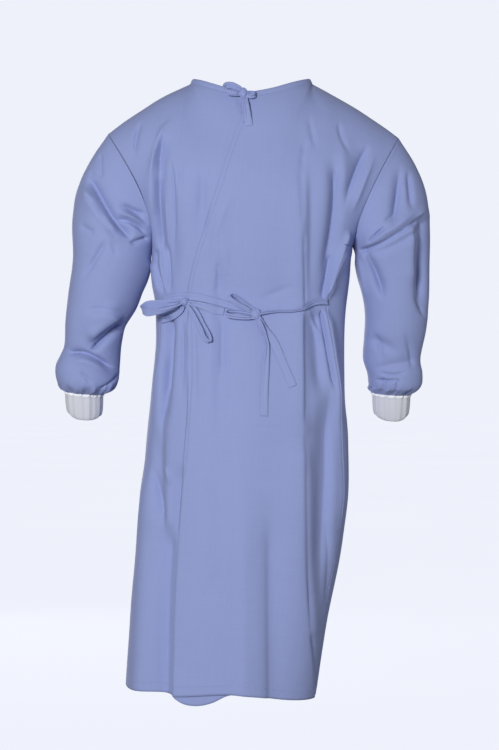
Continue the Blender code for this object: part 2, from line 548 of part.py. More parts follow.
def row_places():
    """The rows from the hem up: (z, None) below the arms and (None, t) above."""
    skirt = np.linspace(HEM_Z, WAIST_Z - 0.045, SKIRT_ROWS + 1)[:-1]
    waist = np.linspace(WAIST_Z - 0.045, UNDERARM_Z, WAIST_ROWS + 1)
    rows = [(float(z), None) for z in (*skirt, *waist)]
    return rows + [(None, t) for t in np.linspace(0, 1, UPPER_ROWS + 1)[1:]]


def main_columns(z, t):
    """The back's main columns, as angles: left seam, left neck, flap, under edge, right neck, right seam."""
    top_middle, top_half = shoulder_half_width()
    neck = [float(angle_of((x - top_middle) / top_half)) for x in (NECK_LEFT_X, NECK_RIGHT_X)]
    if t is None:
        middle = (body_size("left", z) + body_size("right", z)) / 2
        half = (body_size("right", z) - body_size("left", z)) / 2
        seams = [float(edge_place(name, z)) for name in ("seam_left", "seam_right")]
        f = 0.0
        spot = z
    else:
        f = float(rise(t))
        low_middle = (body_size("left", UNDERARM_Z) + body_size("right", UNDERARM_Z)) / 2
        low_half = (body_size("right", UNDERARM_Z) - body_size("left", UNDERARM_Z)) / 2
        middle = (1 - f) * low_middle + f * top_middle
        half = (1 - f) * low_half + f * top_half
        seams = [-90.0, 90.0]
        spot = (1 - f) * UNDERARM_Z + f * (NECK_SIDE_Z - NECK_BACK_DROP)
    flap, under = (float(angle_of((edge_place(name, spot) - middle) / half)) for name in ("flap", "under"))
    left_neck = min((1 - f) * -46.0 + f * neck[0], flap - 4)
    right_neck = max((1 - f) * min(40.0, seams[1] - 12) + f * neck[1], under + 4)
    if t == 1:
        left_neck, right_neck = neck
    return seams[0], left_neck, flap, under, right_neck, seams[1]


def spaced(marks, counts, eases=None):
    """Values from the first mark to the last, with that many steps between each two.

    An ease of "start", "end" or "both" packs the steps closer at those ends of its stretch.
    """
    parts = []
    for a, b, count, ease in zip(marks, marks[1:], counts, eases or [None] * len(counts)):
        t = np.linspace(0, 1, count + 1)[:-1]
        if ease == "start":
            t = 1 - np.cos(np.pi / 2 * t)
        elif ease == "end":
            t = np.sin(np.pi / 2 * t)
        elif ease == "both":
            t = (1 - np.cos(np.pi * t)) / 2
        parts.append(a + (b - a) * t)
    return np.append(np.concatenate(parts), marks[-1])


def fold_path(fold):
    """Points along a fold's curve, which passes through its three named points."""
    t = np.linspace(0, 1, FOLD_STEPS + 1)[:, None]
    a, b, c = (np.array(p) for p in ((fold.x0, fold.z0), (fold.x1, fold.z1), (fold.x2, fold.z2)))
    return a * (1 - t) * (1 - 2 * t) + b * 4 * t * (1 - t) + c * t * (2 * t - 1)


def fold_height(points, normals, fold):
    """How far one fold moves each point along its normal."""
    path = fold_path(fold)
    start, run = path[:-1], path[1:] - path[:-1]
    away = points[:, None, [0, 2]] - start[None]
    along = np.clip((away * run).sum(2) / (run * run).sum(1), 0, 1)
    off = away - along[..., None] * run
    distance = np.linalg.norm(off, axis=2)
    nearest = distance.argmin(axis=1)
    each = np.arange(len(points))
    turn = (run[nearest, 0] * off[each, nearest, 1] - run[nearest, 1] * off[each, nearest, 0])
    share = (nearest + along[each, nearest]) / FOLD_STEPS
    width = np.where(turn < 0, fold.left_width, fold.right_width)
    ends = soft_step(share / fold.fade)
    if fold.z2 > HEM_Z:
        ends = ends * soft_step((1 - share) / fold.fade)
    facing = soft_step(0.5 + 1.6 * (normals[:, 1] if fold.front else -normals[:, 1]))
    return fold.height * ends * facing * np.exp(-((distance[each, nearest] / width) ** 2))


def folded(points, normals):
    """The points moved out and in along their normals by every fold."""
    flat, out = points.reshape(-1, 3), normals.reshape(-1, 3)
    heights = sum(fold_height(flat, out, fold) for fold in FOLDS.values())
    return (flat + heights[:, None] * out).reshape(points.shape)


def sleeve_rings(side):
    """(places along the sleeve, number of points around) of its rings."""
    last = len(SLEEVES[side]) - 1
    arm = SLEEVE_STEP * np.arange(round(PUFF_START / SLEEVE_STEP))
    puff = np.linspace(PUFF_START, last, round((last - PUFF_START) / PUFF_STEP) + 1)
    return [(float(s), 2 * UPPER_ROWS) for s in arm] + [(float(s), 4 * UPPER_ROWS) for s in puff]


def ring_points(side, place, count):
    """Points around a sleeve at a place in its table, from the outside round by the back."""
    table = SLEEVES[side]
    size = {
        name: float(smooth_between(place, range(len(table)), [getattr(r, name) for r in table]))
        for name in Ring._fields
    }
    turn = 2 * np.pi * np.arange(count) / count
    up = (1 + np.cos(turn)) / 2
    x = size["inner_x"] + (size["outer_x"] - size["inner_x"]) * up
    z = size["inner_z"] + (size["outer_z"] - size["inner_z"]) * up
    depth = np.where(np.sin(turn) > 0, size["back"], size["front"])
    y = size["middle"] - depth * np.sin(turn)
    towards_body = 1 if side == "left" else -1
    x = x + towards_body * size["bow"] * armhole_bow(up)
    z = z + size["pitch"] * (y - size["middle"])
    gathered = soft_step((place - 9.0) / 1.0) * soft_step((len(table) - 1 - place) / 0.8 + 0.25)
    pucker = 1 + gathered * GATHER_DEPTH / max(size["back"], 0.03) * np.cos(GATHERS * turn)
    centre = np.array([x.mean(), size["middle"]])
    x = centre[0] + (x - centre[0]) * pucker
    y = centre[1] + (y - centre[1]) * pucker
    ring = np.stack([x, y, z], axis=1)
    return ring if side == "left" else ring[np.r_[0, count - 1 : 0 : -1]]


def cuff_rings(end):
    """The knitted cuff's rings, down from the sleeve's end."""
    centre = end.mean(axis=0)
    turn = 2 * np.pi * np.arange(len(end)) / len(end)
    rings = []
    for ring in CUFF_RINGS:
        p = centre + (end - centre) * np.array([ring.width, ring.depth, 1.0])
        p[:, 2] -= ring.drop - ring.corner_lift * np.abs(np.cos(turn)) ** 3
        p[:, 1] += 0.25 * ring.drop
        rings.append(p)
    return rings


def quads_between(lower, upper, closed):
    """Faces between two rows of point numbers; the lower row may have twice as many points."""
    faces = []
    steps = len(upper) if closed else len(upper) - 1
    for j in range(steps):
        a, b = upper[j], upper[(j + 1) % len(upper)]
        if len(lower) == 2 * len(upper):
            c, d, e = lower[2 * j], lower[2 * j + 1], lower[(2 * j + 2) % len(lower)]
            faces += [(c, d, a), (d, b, a), (d, e, b)]
        else:
            faces.append((lower[j], lower[(j + 1) % len(lower)], b, a))
    return faces


class Sheet:
    """One cut piece of cloth before it has thickness: rows of points and the faces between."""

    def __init__(self, name, rows, closed, thickness, material, gap=SEAM_GAP):
        self.name, self.closed, self.gap = name, closed, gap
        self.thickness, self.material = thickness, material
        self.points = np.concatenate(rows)
        starts = np.concatenate([[0], np.cumsum([len(row) for row in rows])])
        self.rows = [list(range(a, b)) for a, b in zip(starts, starts[1:])]
        self.faces = []
        for lower, upper in zip(self.rows, self.rows[1:]):
            self.faces += quads_between(lower, upper, closed)

    def keys(self):
        """A whole-number key for each point, the same wherever two sheets meet."""
        return [tuple(k) for k in np.round(self.points / WELD + 0.137).astype(int)]

    def face_normals(self):
        """The area-weighted normal of each face."""
        p = self.points
        return [np.cross(p[f[2]] - p[f[0]], p[f[-1]] - p[f[1]]) / 2 for f in self.faces]

    def parted(self):
        """The points with every edge drawn back by half the gap that a seam leaves."""
        p, out = self.points, self.points + self.shift
        pairs = []
        for edge, inner in ((0, 1), (-1, -2)):
            if len(self.rows[edge]) == len(self.rows[inner]):
                pairs += zip(self.rows[edge], self.rows[inner])
            if not self.closed:
                pairs += [(row[edge], row[inner]) for row in self.rows]
        for edge, inner in pairs:
            run = p[inner] - p[edge]
            out[edge] += run / np.linalg.norm(run) * self.gap / 2
        return out

    def wall(self):
        """The closed wall around the sheet: its points and faces."""
        middle, half = self.parted(), self.normals * self.thickness / 2
        points = np.concatenate([middle + half, middle - half])
        n = len(middle)
        faces = self.triangles(middle)
        sides = [(f[i], f[(i + 1) % 3]) for f in faces for i in range(3)]
        inside = set(sides)
        rim = [(b, a, a + n, b + n) for a, b in sides if (b, a) not in inside]
        return points, faces + [tuple(v + n for v in f[::-1]) for f in faces] + rim

    def triangles(self, points):
        """The faces with each quad split on its shorter diagonal, the same on both sides of the wall."""
        faces = []
        for face in self.faces:
            if len(face) == 3:
                faces.append(face)
                continue
            a, b, c, d = face
            if np.linalg.norm(points[a] - points[c]) < np.linalg.norm(points[b] - points[d]):
                faces += [(a, b, c), (a, c, d)]
            else:
                faces += [(a, b, d), (b, c, d)]
        return faces


def share_normals(sheets):
    """Give every sheet unit normals, averaged where sheets meet, so that seams are mitred.

    Where the sheets meet at too sharp an angle for a mitre, each keeps its own normals, and a
    sleeve's edge is moved to lie on the outside of the panels.
    """
    sums = {}
    for sheet in sheets:
        keys = sheet.keys()
        sheet.own = np.zeros_like(sheet.points)
        for face, normal in zip(sheet.faces, sheet.face_normals()):
            for v in face:
                sheet.own[v] += normal
                sums[keys[v]] = sums.get(keys[v], 0) + normal
    for sheet in sheets:
        total = np.array([sums[k] for k in sheet.keys()])
        own, sheet.shared = unit(sheet.own), unit(total)
        cosine = (sheet.shared * own).sum(axis=1)
        sharp = soft_step((MITRE_COSINE - cosine) / MITRE_RANGE)[:, None]
        sheet.normals = unit((1 - sharp) * sheet.shared + sharp * own)
        others = unit(total - sheet.own + TINY)
        sheet.shift = sharp * others * SHARP_SHIFT * sheet.name.startswith("sleeve")


def front_marks(z, t):
    """The front panel's main columns, as angles, from the right seam round by the front."""
    marks, top = main_columns(z, t), main_columns(None, 1.0)
    f = 0.0 if t is None else float(rise(t))
    turns = [(1 - f) * low + f * (180 - top[i]) for low, i in zip(FRONT_MARKS, (4, 1))]
    return marks[5], *turns, 360 + marks[0]


def body_rows(layer):
    """Rows of base points of one layer of the body: the back's two layers go all the way across."""
    is_back = layer != "front"
    marks_at = main_columns if is_back else front_marks
    counts = BACK_COUNTS if is_back else FRONT_COUNTS
    rows = []
    for z, t in row_places():
        marks = marks_at(z, t)
        if t is None:
            rows.append(lower_row(z, spaced(marks, counts), layer))
        else:
            rows.append(upper_row(t, marks, is_back))
    return rows


def turned_in(edge):
    """The neckline: the neck edge carried on by the binding's width, up and inwards."""
    centre = np.array([(NECK_LEFT_X + NECK_RIGHT_X) / 2, 0.0])
    inward = centre - edge[:, :2]
    inward = inward / np.linalg.norm(inward, axis=1)[:, None]
    lift = math.sqrt(1 - NECK_TURN**2) * BINDING_WIDTH
    return edge + np.column_stack([inward * NECK_TURN * BINDING_WIDTH, np.full(len(edge), lift)])


def cloth_sheets():
    """The panels and sleeves, with their folds."""
    flap = SHOULDER_COLUMNS + NECK_COLUMNS
    under = flap + LAP_COLUMNS
    outer_rows = [row[flap:] for row in body_rows("outer")]
    under_rows = [row[: under + 1] for row in body_rows("under")]
    sheets = [
        Sheet("back_panel_right", outer_rows, False, CLOTH, "cloth"),
        Sheet("back_panel_left", under_rows, False, CLOTH, "cloth"),
        Sheet("front_panel", body_rows("front"), False, CLOTH, "cloth"),
    ]
    for side in ("left", "right"):
        rings = [ring_points(side, s, n) for s, n in sleeve_rings(side)]
        sheets.append(Sheet("sleeve_" + side, rings[::-1], True, CLOTH, "cloth", 4 * SEAM_GAP))
    share_normals(sheets)
    for sheet in sheets:
        sheet.points = folded(sheet.points, sheet.shared)
    share_normals(sheets)
    left = sheets[1]
    columns = np.array([j for row in left.rows for j in range(len(row))])
    tucked = soft_step((columns - flap + TUCK_COLUMNS) / TUCK_COLUMNS)
    left.points = left.points - left.normals * (tucked * LAP_GAP)[:, None]
    return sheets


def trim_sheets(sheets):
    """The binding and the cuffs, which carry on from the edges of the panels and the sleeves."""
    right, left, front = ([s.points[s.rows[-1]] for s in sheets[:3]])
    first, last = SHOULDER_COLUMNS, SHOULDER_COLUMNS + FRONT_COLUMNS
    edge = np.concatenate([right[: -first], front[first + 1 : last + 1], left[first + 1 :]])
    trims = [Sheet("neck_binding", [edge, turned_in(edge)], False, BOUND_EDGE, "cloth", 5 * SEAM_GAP)]
    for side, sleeve in zip(("left", "right"), sheets[3:]):
        rings = cuff_rings(sleeve.points[sleeve.rows[0]])
        trims.append(Sheet("cuff_" + side, rings[::-1], True, KNIT, "knit"))
    return trims


def tree_of(shapes):
    """One search tree over several (points, faces)."""
    points, faces = [], []
    for some, their in shapes:
        faces += [tuple(v + len(points) for v in f) for f in their]
        points += [Vector(p) for p in some]
    return BVHTree.FromPolygons(points, faces)


def seen_y(tree, x, z):
    """How near to a viewer behind the gown its shapes come at each x and z; far away where none."""
    hits = [tree.ray_cast(Vector((a, -2.0, b)), Vector((0, 1, 0)))[0] for a, b in zip(x, z)]
    return np.array([FAR if hit is None else hit.y for hit in hits])


def envelope(values, reach):
    """A smooth line that stays at or below the values: a running least, then a running mean."""
    ends = np.pad(values, 2 * reach, mode="edge")
    windows = np.lib.stride_tricks.sliding_window_view(ends, 2 * reach + 1)
    windows = np.lib.stride_tricks.sliding_window_view(windows.min(axis=1), 2 * reach + 1)
    return windows.mean(axis=1)


def unit(vectors):
    return vectors / np.linalg.norm(vectors, axis=1)[:, None]


def finely(rows, ways):
    """The table's columns read at every FINE along the curve through its first `ways` columns."""
    table = np.array(rows, float)
    steps = np.linalg.norm(np.diff(table[:, :ways], axis=0), axis=1)
    places = np.concatenate([[0], np.cumsum(steps)])
    at = np.linspace(0, places[-1], round(places[-1] / FINE) + 1)
    return np.stack([smooth_between(at, places, column) for column in table.T])


def laid_ribbon(rows, tree):
    """Corners of a ribbon that lies on what is behind it: (places, 4 corners, 3)."""
    x, z, width, lift = finely(rows, 2)
    run = unit(np.gradient(np.stack([x, z], axis=1), axis=0))
    lines = []
    for side in (-0.5, 0.0, 0.5):
        at_x, at_z = x - side * width * run[:, 1], z + side * width * run[:, 0]
        behind = seen_y(tree, at_x, at_z)
        behind = np.where(behind == FAR, behind.min() + EDGE_RELIEF, behind)
        y = envelope(behind, round(TIE_EASE / FINE)) - TIE_CLEARANCE - lift
        lines.append(np.stack([at_x, y, at_z], axis=1))
    first, middle, last = lines
    bulge = np.minimum(middle[:, 1] - (first[:, 1] + last[:, 1]) / 2, 0)
    first[:, 1] += bulge
    last[:, 1] += bulge
    along = np.gradient(first + last, axis=0)
    out = unit(np.cross(last - first, along))
    out = out * np.where(out[:, 1] > 0, -1, 1)[:, None] * TIE
    return np.stack([first, last, last + out, first + out], axis=1)


def free_ribbon(rows, tree, knot_y):
    """Corners of a ribbon that stands free of what is behind it: (places, 4 corners, 3)."""
    x, out, z, lean, tilt, width = finely(rows, 3)
    centre = np.stack([x, knot_y - out, z], axis=1)
    run = unit(np.gradient(centre, axis=0))
    lean, tilt = np.radians(lean), np.radians(tilt)
    flat = np.cos(tilt)
    side = np.stack([np.cos(lean) * flat, -np.sin(tilt), np.sin(lean) * flat], axis=1)
    side = unit(side - run * (side * run).sum(axis=1)[:, None])
    thick = np.cross(side, run) * TIE / 2
    side = side * width[:, None] / 2
    corners = np.stack(
        [centre - side - thick, centre + side - thick, centre + side + thick, centre - side + thick],
        axis=1,
    )
    spare = np.full(len(x), FAR)
    for share in np.linspace(0, 1, 5):
        for a, b in ((0, 1), (3, 2)):
            p = corners[:, a] * (1 - share) + corners[:, b] * share
            spare = np.minimum(spare, seen_y(tree, p[:, 0], p[:, 2]) - TIE_CLEARANCE - p[:, 1])
    corners[:, :, 1] += envelope(np.minimum(spare, 0), round(TIE_EASE / FINE))[:, None]
    return corners


def outside_knot(corners, knot, knot_y):
    """Whether each place along a ribbon is clear of a knot."""
    clear = np.ones(len(corners), bool)
    size = np.array([knot.half_x, knot.half_y, knot.half_z]) + KNOT_GAP
    for share in np.linspace(0, 1, 7):
        for a, b in ((0, 1), (3, 2)):
            p = corners[:, a] * (1 - share) + corners[:, b] * share
            away = (p - np.array([knot.x, knot_y, knot.z])) / size
            clear &= (away**2).sum(axis=1) > 1
    return clear


def longest_run(flags):
    """The first and last index of the longest run of true flags."""
    edges = np.flatnonzero(np.diff(np.concatenate([[0], flags.astype(int), [0]])))
    starts, stops = edges[::2], edges[1::2]
    best = (stops - starts).argmax()
    return starts[best], stops[best] - 1


def tube(rings):
    """A closed solid through rings with equal numbers of points, capped at both ends.

    Its opposite sides are split on facing diagonals, so that a twisted ribbon keeps its thickness.
    """
    count = len(rings[0])
    points = np.concatenate(rings)
    faces = []
    for i in range(len(rings) - 1):
        for j in range(count):
            a, b = i * count + j, i * count + (j + 1) % count
            if j < count // 2:
                faces += [(a, b, b + count), (a, b + count, a + count)]
            else:
                faces += [(a, b, a + count), (b, b + count, a + count)]
    faces.append(tuple(range(count))[::-1])
    faces.append(tuple(range((len(rings) - 1) * count, len(rings) * count)))
    volume = sum(np.dot(points[f[0]], np.cross(points[f[1]], points[f[2]]))
                 + np.dot(points[f[0]], np.cross(points[f[2]], points[f[-1]])) for f in faces)
    return points, faces if volume > 0 else [f[::-1] for f in faces]


def ribbon_solid(corners, step, knots, behind):
    """A ribbon's solid, cut off where it meets the knots, (knot, y) each, and clear of what is behind."""
    for push in np.arange(0, MOST_PUSH, TIE_CLEARANCE):
        moved = corners - np.array([0.0, push, 0.0])
        clear = np.ones(len(moved), bool)
        for knot, y in knots:
            clear &= outside_knot(moved, knot, y)
        first, last = longest_run(clear)
        steps = max(2, round((last - first) * FINE / step))
        solid = tube(list(moved[np.round(np.linspace(first, last, steps + 1)).astype(int)]))
        if not tree_of([solid]).overlap(behind):
            break
    return solid


def knot_solid(knot, tree):
    """A knot, a rounded lump just clear of what is behind it, and the y of its middle."""
    turns = 2 * np.pi * np.arange(KNOT_SIDES) / KNOT_SIDES
    tilts = np.linspace(-np.pi / 2, np.pi / 2, KNOT_RINGS + 2)[1:-1]
    size = np.array([knot.half_x, knot.half_y, knot.half_z])
    rings = []
    for tilt in tilts:
        ring = np.stack(
            [np.cos(tilt) * np.cos(turns), np.cos(tilt) * np.sin(turns), np.full(len(turns), np.sin(tilt))],
            axis=1,
        )
        rings.append(np.array([knot.x, 0.0, knot.z]) + ring * size)
    points, faces = tube(rings)
    spare = seen_y(tree, points[:, 0], points[:, 2]) - TIE_CLEARANCE - points[:, 1]
    y = min(spare.min(), FAR)
    return (points + np.array([0.0, y, 0.0]), faces), y


def tie_solids(cloth):
    """Every tie's solid by name. Each one lies over those before it in its bow's table."""
    solids, lumps = {}, {}
    for bow in BOWS:
        knots = []
        for name, rows in bow:
            behind = tree_of(list(cloth) + list(solids.values()))
            if isinstance(rows, Knot):
                lumps[name], y = knot_solid(rows, behind)
                knots.append((rows, y))
            elif isinstance(rows[0], Laid):
                corners = laid_ribbon(rows, behind)
                solids[name] = ribbon_solid(corners, LAID_STEP, knots, behind)
            else:
                corners = free_ribbon(rows, behind, knots[0][1])
                solids[name] = ribbon_solid(corners, FREE_STEP, knots, behind)
    return solids | lumps


def to_linear(value):
    return value / 12.92 if value <= 0.04045 else ((value + 0.055) / 1.055) ** 2.4


def make_object(name, points, faces, colour, roughness):
    """One object with its own material, shaded smooth."""
    mesh = bpy.data.meshes.new(name)
    mesh.from_pydata([tuple(map(float, p)) for p in points], [], faces)
    mesh.validate()
    mesh.shade_smooth()
    material = bpy.data.materials.new(name)
    material.use_nodes = True
    shader = material.node_tree.nodes["Principled BSDF"]
    linear = [to_linear(int(colour[i : i + 2], 16) / 255) for i in (1, 3, 5)]
    shader.inputs["Base Color"].default_value = (*linear, 1.0)
    shader.inputs["Roughness"].default_value = roughness
    shader.inputs["Metallic"].default_value = 0.0
    mesh.materials.append(material)
    bpy.context.scene.collection.objects.link(bpy.data.objects.new(name, mesh))


def main():
    for old in list(bpy.data.objects):
        bpy.data.objects.remove(old)
    sheets = cloth_sheets()
    sheets += trim_sheets(sheets)
    share_normals(sheets)
    walls = {sheet.name: sheet.wall() for sheet in sheets}
    for sheet in sheets:
        make_object(sheet.name, *walls[sheet.name], *FINISHES[sheet.material])
    for name, solid in tie_solids(list(walls.values())).items():
        make_object(name, *solid, *FINISHES["cloth"])


if __name__ == "__main__":
    main()
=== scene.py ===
"""The looks of a cloth surgical gown, filled out as if worn, seen from its tied back.

Frame, in metres: +Z is up, -Y comes out of the gown's back, and +X is the wearer's right.
Around the body an angle counts from the middle of the back: 0 is the back, +90 the wearer's
right side, 180 the front and -90 the left side.
"""
import logging
import math
from dataclasses import dataclass, field
from enum import Enum
from typing import NamedTuple

import bpy
import numpy as np
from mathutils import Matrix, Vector
from mathutils.bvhtree import BVHTree

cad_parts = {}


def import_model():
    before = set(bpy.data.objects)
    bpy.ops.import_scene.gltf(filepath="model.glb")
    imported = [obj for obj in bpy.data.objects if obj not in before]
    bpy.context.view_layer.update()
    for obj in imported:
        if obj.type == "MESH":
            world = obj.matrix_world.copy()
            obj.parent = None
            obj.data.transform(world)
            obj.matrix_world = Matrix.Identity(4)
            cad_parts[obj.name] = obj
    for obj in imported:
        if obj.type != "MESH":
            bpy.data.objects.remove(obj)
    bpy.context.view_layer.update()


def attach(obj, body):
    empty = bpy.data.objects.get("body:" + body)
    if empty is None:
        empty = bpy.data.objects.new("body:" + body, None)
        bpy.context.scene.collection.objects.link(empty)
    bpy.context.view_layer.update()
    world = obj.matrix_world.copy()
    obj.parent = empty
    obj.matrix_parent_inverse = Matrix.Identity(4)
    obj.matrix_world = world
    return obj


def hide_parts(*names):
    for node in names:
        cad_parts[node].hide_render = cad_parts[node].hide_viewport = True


LOG = logging.getLogger("gown")


class Side(Enum):
    """The wearer's own two sides."""

    LEFT = "left"
    RIGHT = "right"


class Layer(Enum):
    """The three layers of cloth around the body."""

    OUTER = "outer"
    UNDER = "under"
    FRONT = "front"


class Edge(Enum):
    """The four edges of a piece whose rows run up from its low end."""

    LOW = "low"
    HIGH = "high"
    FIRST = "first"
    LAST = "last"


class Section(NamedTuple):
    """A body section: the sides' x, and how far the back and the front stand from y = 0."""

    z: float
    left: float
    right: float
    back: float
    front: float


class EdgePlace(NamedTuple):
    """Where seams and free edges run: the seams' angles, the free back edges' x."""

    z: float
    seam_left: float
    seam_right: float
    flap: float
    under: float


class Armhole(NamedTuple):
    """A loop from the underarm up to the end of the shoulder, bowed towards the body."""

    top_x: float
    top_z: float
    bow: float


class Ring(NamedTuple):
    """A sleeve section: its ends in the plane of the back, half depths, middle, bow and pitch."""

    outer_x: float
    outer_z: float
    inner_x: float
    inner_z: float
    back: float
    front: float
    middle: float
    bow: float
    pitch: float


class CuffRing(NamedTuple):
    """A cuff ring: how far below the sleeve's end it lies, and its size beside that end's."""

    drop: float
    width: float
    depth: float
    corner_lift: float


class Fold(NamedTuple):
    """A fold: a curve through three points in the plane of the back, its height and widths."""

    x0: float
    z0: float
    x1: float
    z1: float
    x2: float
    z2: float
    height: float
    left_width: float
    right_width: float
    front: int
    fade: float


class Hem(NamedTuple):
    """How high each layer's hem hangs above the hem's line at one x."""

    x: float
    outer: float
    under: float
    front: float


class Laid(NamedTuple):
    """A place along a tie that lies on cloth: its middle, the width seen, the stand off it."""

    x: float
    z: float
    width: float
    lift: float


class Free(NamedTuple):
    """A place along a loop that stands free: its middle, how far out, its lean, tilt, width."""

    x: float
    out: float
    z: float
    lean: float
    tilt: float
    width: float


class Knot(NamedTuple):
    """A knot's middle and half sizes."""

    x: float
    z: float
    half_x: float
    half_y: float
    half_z: float


SECTIONS = (
    Section(-0.325, -0.195, 0.2065, 0.142, 0.139),
    Section(-0.35, -0.195, 0.203, 0.138, 0.138),
    Section(-0.38, -0.1925, 0.1995, 0.133, 0.137),
    Section(-0.44, -0.187, 0.193, 0.124, 0.137),
    Section(-0.5, -0.185, 0.19, 0.133, 0.138),
    Section(-0.6, -0.193, 0.191, 0.148, 0.146),
    Section(-0.7, -0.204, 0.195, 0.16, 0.158),
    Section(-0.8, -0.212, 0.197, 0.168, 0.17),
    Section(-0.9, -0.219, 0.187, 0.173, 0.18),
    Section(-1.0, -0.228, 0.168, 0.177, 0.188),
    Section(-1.1, -0.237, 0.149, 0.18, 0.194),
    Section(-1.203, -0.244, 0.129, 0.182, 0.198),
)

EDGES = (
    EdgePlace(-0.067, -90, 90, -0.01, 0.018),
    EdgePlace(-0.144, -90, 90, -0.037, 0.03),
    EdgePlace(-0.211, -90, 90, -0.058, 0.04),
    EdgePlace(-0.291, -90, 90, -0.087, 0.052),
    EdgePlace(-0.325, -90, 90, -0.098, 0.058),
    EdgePlace(-0.345, -86, 81, -0.105, 0.06),
    EdgePlace(-0.375, -80, 66, -0.113, 0.063),
    EdgePlace(-0.415, -72, 52, -0.121, 0.066),
    EdgePlace(-0.45, -69, 49, -0.121, 0.068),
    EdgePlace(-0.522, -71, 54, -0.119, 0.066),
    EdgePlace(-0.602, -74, 60, -0.12, 0.06),
    EdgePlace(-0.7, -76, 64, -0.125, 0.052),
    EdgePlace(-0.85, -78, 66, -0.138, 0.036),
    EdgePlace(-1.024, -80, 69, -0.15, 0.018),
    EdgePlace(-1.203, -80, 71, -0.152, 0.004),
)

HEMS = (
    Hem(-0.27, 0.007, 0.007, 0.007),
    Hem(-0.225, 0.007, 0.007, 0.007),
    Hem(-0.151, 0.004, 0.003, 0.0),
    Hem(-0.128, 0.005, -0.009, -0.003),
    Hem(-0.1, 0.007, -0.012, -0.004),
    Hem(-0.072, 0.009, -0.006, -0.003),
    Hem(-0.042, 0.01, 0.008, 0.001),
    Hem(0.01, 0.005, 0.008, 0.004),
    Hem(0.065, -0.005, 0.0, -0.001),
    Hem(0.11, -0.009, -0.009, -0.009),
    Hem(0.15, -0.009, -0.009, -0.009),
)

UNDERARM_Z = -0.325

ARMHOLES = {
    Side.LEFT: Armhole(-0.283, -0.1, 0.022),
    Side.RIGHT: Armhole(0.297, -0.11, 0.013),
}

SLEEVES = {
    Side.RIGHT: (
        Ring(0.297, -0.11, 0.2065, -0.325, 0.078, 0.07, 0.0, 0.013, 0.0),
        Ring(0.331, -0.163, 0.211, -0.341, 0.081, 0.077, 0.0, 0.008, 0.0),
        Ring(0.353, -0.22, 0.2115, -0.363, 0.081, 0.08, 0.002, 0.004, 0.02),
        Ring(0.3595, -0.29, 0.2175, -0.39, 0.077, 0.078, 0.005, 0.0, 0.05),
        Ring(0.36, -0.36, 0.227, -0.422, 0.072, 0.074, 0.008, 0.0, 0.08),
        Ring(0.36, -0.425, 0.231, -0.462, 0.067, 0.068, 0.012, 0.0, 0.12),
        Ring(0.354, -0.485, 0.229, -0.502, 0.062, 0.062, 0.018, 0.0, 0.15),
        Ring(0.3425, -0.545, 0.2272, -0.547, 0.054, 0.054, 0.028, 0.0, 0.18),
        Ring(0.347, -0.577, 0.2366, -0.578, 0.056, 0.056, 0.034, 0.0, 0.18),
        Ring(0.3462, -0.6, 0.24, -0.6, 0.054, 0.054, 0.038, 0.0, 0.17),
        Ring(0.335, -0.6105, 0.2425, -0.6085, 0.045, 0.045, 0.041, 0.0, 0.16),
        Ring(0.3235, -0.62, 0.249, -0.617, 0.031, 0.031, 0.043, 0.0, 0.15),
    ),
    Side.LEFT: (
        Ring(-0.283, -0.1, -0.195, -0.325, 0.078, 0.07, 0.0, 0.022, 0.0),
        Ring(-0.314, -0.147, -0.197, -0.343, 0.081, 0.077, 0.0, 0.014, 0.0),
        Ring(-0.34, -0.205, -0.1985, -0.367, 0.082, 0.08, 0.002, 0.006, 0.02),
        Ring(-0.3535, -0.275, -0.2045, -0.392, 0.079, 0.08, 0.004, 0.0, 0.05),
        Ring(-0.354, -0.345, -0.216, -0.418, 0.075, 0.076, 0.008, 0.0, 0.08),
        Ring(-0.3625, -0.41, -0.228, -0.45, 0.07, 0.071, 0.012, 0.0, 0.12),
        Ring(-0.3685, -0.47, -0.248, -0.484, 0.063, 0.063, 0.018, 0.0, 0.15),
        Ring(-0.3725, -0.522, -0.258, -0.52, 0.057, 0.057, 0.026, 0.0, 0.17),
        Ring(-0.39, -0.562, -0.262, -0.562, 0.059, 0.059, 0.032, 0.0, 0.18),
        Ring(-0.3885, -0.592, -0.265, -0.594, 0.058, 0.058, 0.037, 0.0, 0.17),
        Ring(-0.378, -0.607, -0.279, -0.612, 0.046, 0.046, 0.04, 0.0, 0.16),
        Ring(-0.3715, -0.614, -0.2965, -0.62, 0.031, 0.031, 0.042, 0.0, 0.15),
    ),
}

CUFF_RINGS = (
    CuffRing(0.0, 0.99, 1.0, 0.0),
    CuffRing(0.01, 0.99, 1.01, 0.0),
    CuffRing(0.026, 0.97, 1.0, 0.0),
    CuffRing(0.04, 0.93, 0.96, 0.002),
    CuffRing(0.048, 0.87, 0.92, 0.005),
    CuffRing(0.052, 0.8, 0.88, 0.008),
)

